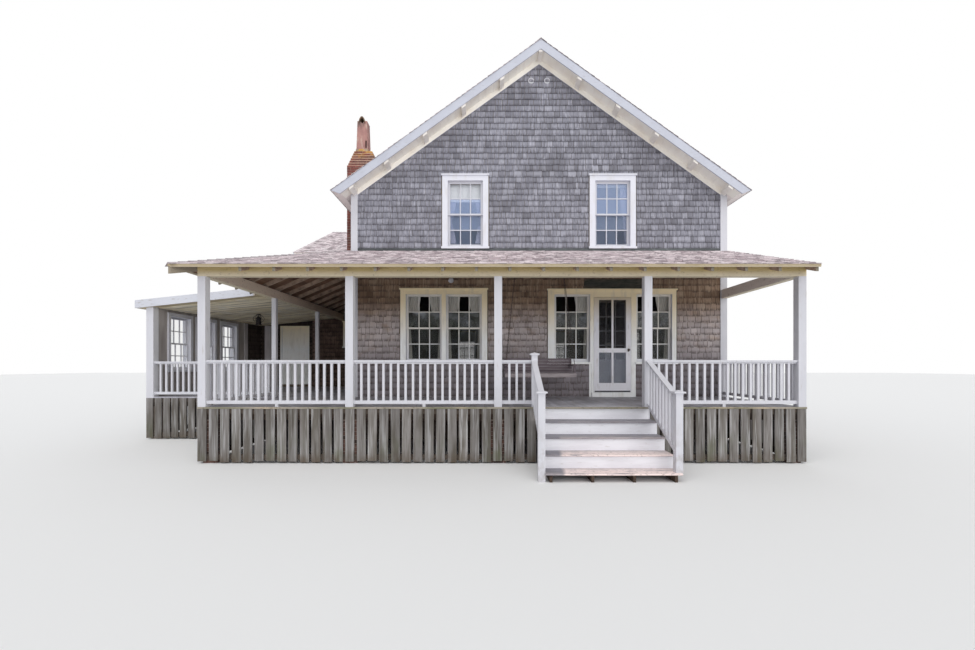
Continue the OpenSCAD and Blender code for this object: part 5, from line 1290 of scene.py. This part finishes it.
# Pane finish: painted reflection, pale and dark green by the mirror number and blue by the blue
# number, over a near-black base.
old_glass = coat(
    "old_glass", (22, 24, 26),
    wash((178, 184, 192), 1.0, (2.4, 2.4, 3.4), 0.36, 0.62, mark=("mirror", 0, 1)),
    wash((70, 74, 66), 1.0, 5, 0.3, 0.7, mark=("mirror", 0, 0.3)),
    wash((178, 198, 236), 1.0, 2, -0.5, 0.2, mark=("blue", 0, 0.3)),
    rough=0.08, relief=(3, 0.004), gloss=0.2, body=("mirror", (0.07, 0.92)))
nail_boards("window_panes", panes, old_glass, stands_for=("window_glass",),
            marks={"mirror": mirror, "blue": blue})

# Curtains and roller shades behind the glass: sheer cream cotton tied back near half height, hung
# from thin metal rods on the inner side of the wall, and white roller shades set in the openings
# of the upper front windows and of those on the right side and at the back.
sheer = coat(
    "sheer_cotton", (240, 238, 232),
    wash((206, 202, 192), 0.6, (30, 30, 3), 0.4, 0.7),
    # Painted light: above 4.2 m the cotton is painted blue-grey, for the sky's cast on the upstairs
    # curtains.
    over((196, 196, 214), fall=(3.9, 4.2)),
    rough=0.9, relief=(700, 0.0004), gloss=0.1)
shade_cloth = coat(
    "shade_cloth", (246, 250, 255),
    wash((232, 236, 244), 0.5, (2, 2, 1), 0.4, 0.7),
    rough=0.85, relief=(500, 0.0004))
rod_metal = coat(
    "rod_metal", (176, 160, 120),
    wash((110, 96, 70), 0.6, 20, 0.4, 0.7),
    rough=0.35, metal=0.8)


def cloth_grid(window, cols, rows, place):
    """Cloth as a grid in a window, where place(t, s) says how far out, in and up it is at a share
    of its width and of its drop."""
    verts = [to_wall(window, *place(c / cols, r / rows))
             for r in range(rows + 1) for c in range(cols + 1)]
    faces = [(a, a + 1, a + cols + 2, a + cols + 1)
             for r in range(rows) for a in range(r * (cols + 1), r * (cols + 1) + cols)]
    return verts, faces


def hang_curtain(name, window, side, drop, wide, tie, waist, flare=0.42, depth=0.17):
    """Half curtain gathered on a rod and drawn to one side by a tie at a share of its drop."""
    edge = side * (window[4] / 2 + 0.03)

    def place(t, s):
        if s < tie:
            width = wide + (waist - wide) * (s / tie) ** 1.7
        else:
            width = waist + (wide * flare - waist) * ((s - tie) / (1 - tie)) ** 0.7
        fold = 0.010 + 0.012 * (1 - width / wide)
        y = depth + fold * math.sin(t * 2 * math.pi * 6 + 0.8 * s) + 0.004 * math.sin(9 * s + 5 * t)
        return edge - side * width * t, y, window[5] + 0.03 - drop * s

    verts, faces = cloth_grid(window, 36, 26, place)
    piece = make_piece(name, verts, faces, sheer, smooth=True)


def hang_shade(name, window, drop, depth=0.14):
    """Roller shade pulled part of the way down, with its lower edge bowed a little."""
    half = window[4] / 2 - 0.012

    def place(t, s):
        bow = 0.003 * math.sin(t * math.pi) * s
        return half * (2 * t - 1), depth + bow, window[5] - 0.01 - drop * s

    verts, faces = cloth_grid(window, 12, 8, place)
    piece = make_piece(name, verts, faces, shade_cloth, smooth=True)


rods = []
for window in front_list[2:]:
    half, top = window[4] / 2, window[5]
    rods.append(wall_box(window, (-half - 0.06, 0.18, top + 0.03),
                         (half + 0.06, 0.19, top + 0.042)))
    for x in (-half - 0.05, half + 0.05):
        rods.append(wall_box(window, (x - 0.006, 0.149, top + 0.026),
                             (x + 0.006, 0.19, top + 0.046)))
shade_windows = [(front_list[0], 0.42), (front_list[1], 0.09)]
shade_windows += [(window, 0.3 + 0.17 * (i % 3)) for i, window in enumerate(right_list + back_list)]
for window, _ in shade_windows:
    half, top = window[4] / 2 - 0.004, window[5]
    rods.append(wall_box(window, (-half, 0.125, top - 0.028), (half, 0.149, top - 0.002)))
window_rods = nail_boards("curtain_rods", rods, rod_metal, seed=103, ease=0.003)
for i, window in enumerate(front_list[2:]):
    for side in ((-1, 1) if i < 2 else (1,)):
        hang_curtain(f"curtain_{i}_{'left' if side < 0 else 'right'}", window, side,
                     1.5, 0.34, 0.55, 0.11)
hang_curtain("curtain_upper_right", front_list[1], 1, 1.4, 0.22, 0.6, 0.14)
for i, side in ((1, -1), (2, 1)):
    hang_curtain(f"curtain_upper_left_{i}", front_list[0], side, 1.4, 0.25, 0.66, 0.105, 0.84)
for i, (window, drop) in enumerate(shade_windows):
    hang_shade(f"roller_shade_{i}", window, drop)

# Front doors: a screen door of four meshed openings hung outside a glazed wooden door with
# twelve small lights over a panel. Both are white, on three butt hinges each.
door_white = coat(
    "door_paint", (236, 236, 244),
    # Painted shade: the doors turn cream upwards from about 2.6 m, under the porch roof.
    over((216, 200, 170), fall=(2.6, 3.2)),
    wash((196, 192, 190), 0.5, (18, 18, 4), 0.58, 0.72),
    rough=0.5, relief=((50, 50, 7), 0.0008))
dress(door_white, "screen_door", "front_door")
mesh_grey = coat(
    "insect_screen", (40, 40, 42),
    wash((70, 70, 74), 0.8, (2, 2, 1.2), 0.4, 0.7),
    wash((140, 146, 158), 1.0, 3, -0.5, 0.1, fall=(2.03, 1.95)),
    rough=0.6, clear=0.45, relief=(900, 0.0003), gloss=0.1)
dress(mesh_grey, "screen_panes")
dress(old_glass, "front_door_glass")
door_lo, door_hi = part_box("front_door_glass")
door_bars = []
for i in (1, 2):
    x = door_lo.x + (door_hi.x - door_lo.x) * i / 3
    door_bars.append(((x - 0.013, 0.112, door_lo.z), (x + 0.013, 0.146, door_hi.z)))
for j in (1, 2, 3):
    z = door_lo.z + (door_hi.z - door_lo.z) * j / 4
    door_bars.append(((door_lo.x, 0.113, z - 0.013), (door_hi.x, 0.145, z + 0.013)))
case_legs = [((a, -0.024, deck_top + 0.0005), (b, -0.0005, ground_z - 0.046))
             for a, b in ((door_x0, 1.186), (2.118, door_x1))]
nail_boards("door_casing_legs", case_legs, case_paint, seed=110, ease=0.002)
nail_boards("front_door_bars", door_bars, door_white, "front_door_leaf", seed=111)
latch_iron = coat(
    "latch_iron", (62, 58, 58),
    wash((104, 88, 62), 0.7, 60, 0.5, 0.7),
    rough=0.4, metal=0.6, relief=(200, 0.0004))
dress(latch_iron, "screen_knob", "front_door_knob")
plate_lo, plate_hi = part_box("screen_knob")
plate_x, plate_z = (plate_lo.x + plate_hi.x) / 2, (plate_lo.z + plate_hi.z) / 2
latch_plate = ((plate_x - 0.018, -0.0335, plate_z - 0.04),
               (plate_x + 0.018, -0.0302, plate_z + 0.03))
nail_boards("screen_latch_plate", [latch_plate], latch_iron, "screen_door_leaf",
            seed=112, ease=0.0012)
rubber = coat(
    "sweep_rubber", (70, 70, 76),
    wash((110, 108, 112), 0.6, (9, 30, 30), 0.45, 0.7),
    rough=0.8, relief=(200, 0.0004))
nail_boards("screen_door_sweep", [((1.252, -0.0345, 1.063), (2.052, -0.0302, 1.092))],
            rubber, "screen_door_leaf", seed=113, ease=0.001)

# Porch swing: a slatted bench of bare boards gone purple-grey, hung on four runs of welded
# chain from two iron eyes under a cross beam of the porch roof.
swing_wood = coat(
    "swing_wood", (108, 98, 104),
    wash((84, 74, 80), 0.7, (1.2, 14, 14), 0.42, 0.68),
    wash((132, 124, 126), 0.6, (4, 30, 30), 0.5, 0.72),
    wash((160, 152, 154), 0.9, (3, 20, 20), 0.1, 0.5, fall=(1.53, 1.49)),
    rough=0.85, relief=((8, 120, 120), 0.0015))
dress(swing_wood, "swing_bench")
seat_z, seat_back = 1.51, -0.91
strip_high, slat_step, lean = 0.0145, 0.0575, 0.22
back_strips = []
for i in range(5):
    foot = seat_z + (0.0085 if i == 0 else 0.009 + slat_step * i)
    face = seat_back - 0.042 + lean * (foot + strip_high / 2 - seat_z + 0.006)
    back_strips.append(((-0.82, face - 0.015, foot), (0.56, face - 0.004, foot + strip_high)))
strip_wood = coat(
    "swing_strip_wood", (140, 132, 138),
    wash((104, 96, 102), 0.8, (3, 14, 14), 0.42, 0.68),
    rough=0.85, relief=((8, 120, 120), 0.0015))
nail_boards("swing_back_strips", back_strips, strip_wood, "porch_swing",
            seed=120, ease=0.002)
chain_steel = coat(
    "chain_steel", (70, 66, 66),
    wash((120, 78, 56), 0.8, 50, 0.5, 0.7),
    rough=0.5, metal=0.7, relief=(300, 0.0005))
pin_y, pin_z = -1.18, 3.6343
swing_mid = -0.13
arm_top = 1.676
link_len, link_wide, link_wire = 0.036, 0.018, 0.0026
ring = []
for q in range(12):
    angle = 2 * math.pi * q / 12
    bend = (link_len - link_wide) / 2 * (1 if math.sin(angle) >= 0 else -1)
    ring.append((link_wide / 2 * math.cos(angle), bend + link_wide / 2 * math.sin(angle)))
verts, faces = [], []


def add_link(centre, along, across):
    """One welded link: a bent round wire, six-sided in section."""
    n = len(verts)
    normal = along.cross(across)
    for q, (a, b) in enumerate(ring):
        middle = centre + across * a + along * b
        outwards = (across * a + along * (b * 0.6)).normalized()
        for w in range(6):
            angle = 2 * math.pi * w / 6
            verts.append(middle + outwards * (link_wire * math.cos(angle))
                         + normal * (link_wire * math.sin(angle)))
    for q in range(12):
        for w in range(6):
            a, b = n + q * 6 + w, n + q * 6 + (w + 1) % 6
            c, d = n + ((q + 1) % 12) * 6 + w, n + ((q + 1) % 12) * 6 + (w + 1) % 6
            faces.append((a, c, d, b))


def add_rod(a, b, radius, sides=10):
    """Round bar between two points."""
    n = len(verts)
    axis = (b - a).normalized()
    across = axis.cross(Vector((0, 0, 1)) if abs(axis.z) < 0.9 else Vector((1, 0, 0))).normalized()
    other = axis.cross(across)
    for point in (a, b):
        for w in range(sides):
            angle = 2 * math.pi * w / sides
            verts.append(point + across * (radius * math.cos(angle))
                         + other * (radius * math.sin(angle)))
    for w in range(sides):
        v = (w + 1) % sides
        faces.append((n + w, n + v, n + sides + v, n + sides + w))
    faces.append(tuple(n + w for w in reversed(range(sides))))
    faces.append(tuple(n + sides + w for w in range(sides)))


eye_r, eye_wire, eye_bars = 0.0115, 0.0042, 20
for side in (-1, 1):
    eye = Vector((swing_mid + side * 0.47, pin_y, pin_z))
    for q in range(eye_bars):
        turns = [2 * math.pi * (q + t) / eye_bars for t in (0, 1.1)]
        ends = [eye + Vector((0, eye_r * math.cos(a), eye_r * math.sin(a))) for a in turns]
        add_rod(*ends, eye_wire, 8)
    for dy in (-0.18, 0.21):
        top = eye + Vector((0, math.copysign(0.007, dy), -0.014))
        foot = Vector((swing_mid + side * 0.665, pin_y + dy, arm_top + 0.006))
        run = foot - top
        along = run.normalized()
        flat = along.cross(Vector((1, 0, 0))).normalized()
        edge = along.cross(flat).normalized()
        count = round(run.length / 0.0275)
        for i in range(count):
            add_link(top + run * ((i + 0.5) / count), along, flat if i % 2 else edge)
        add_rod(foot - along * 0.02, foot + along * 0.012, 0.004)
make_piece("swing_chain_links", verts, faces, chain_steel, "porch_swing", smooth=True,
           stands_for=("swing_chains",))

# Name board: a softwood plank sawn to a point at both ends, painted a very dark green and left
# bare. It stands on the cap over the door, flat against the wall.
board_green = coat(
    "board_green", (68, 70, 63),
    wash((96, 86, 74), 0.8, (1.5, 6, 9), 0.45, 0.7),
    wash((26, 28, 26), 0.7, (8, 8, 40), 0.45, 0.7),
    rough=0.6, relief=((10, 90, 90), 0.0015))
dress(board_green, "name_board")

# Lantern: a black iron lantern on a short rod under the garden room's ceiling, with thin upright
# bars round its body and arms of bent bar round its head.
lantern_iron = coat(
    "lantern_iron", (40, 40, 42),
    wash((84, 70, 60), 0.6, 40, 0.5, 0.7),
    rough=0.5, metal=0.6, relief=(120, 0.0006))
dress(lantern_iron, "lantern")
lantern_lo, lantern_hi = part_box("lantern")
lantern_x, lantern_y = (lantern_lo.x + lantern_hi.x) / 2, (lantern_lo.y + lantern_hi.y) / 2
verts, faces = [], []


def round_lantern(reach, angle, z):
    return Vector((lantern_x + reach * math.cos(angle), lantern_y + reach * math.sin(angle), z))


for q in range(8):
    ends = [round_lantern(0.061, 2 * math.pi * q / 8, lantern_lo.z + up) for up in (0.02, 0.165)]
    add_rod(*ends, 0.003, 6)
for q in range(6):
    angle = 2 * math.pi * (q + 0.3) / 6
    points = []
    for turn in (t / 14 for t in range(15)):
        reach = (0.02 + 0.12 * math.sin(math.pi * min(turn * 1.25, 1))
                 + 0.03 * max(turn - 0.8, 0) * 5)
        rise = -0.005 - 0.34 * turn + 0.09 * max(turn - 0.75, 0) * 4
        points.append(round_lantern(reach, angle, lantern_hi.z + rise))
    for a, b in zip(points, points[1:]):
        add_rod(a, b, 0.005, 6)
make_piece("lantern_bars", verts, faces, lantern_iron, smooth=True)
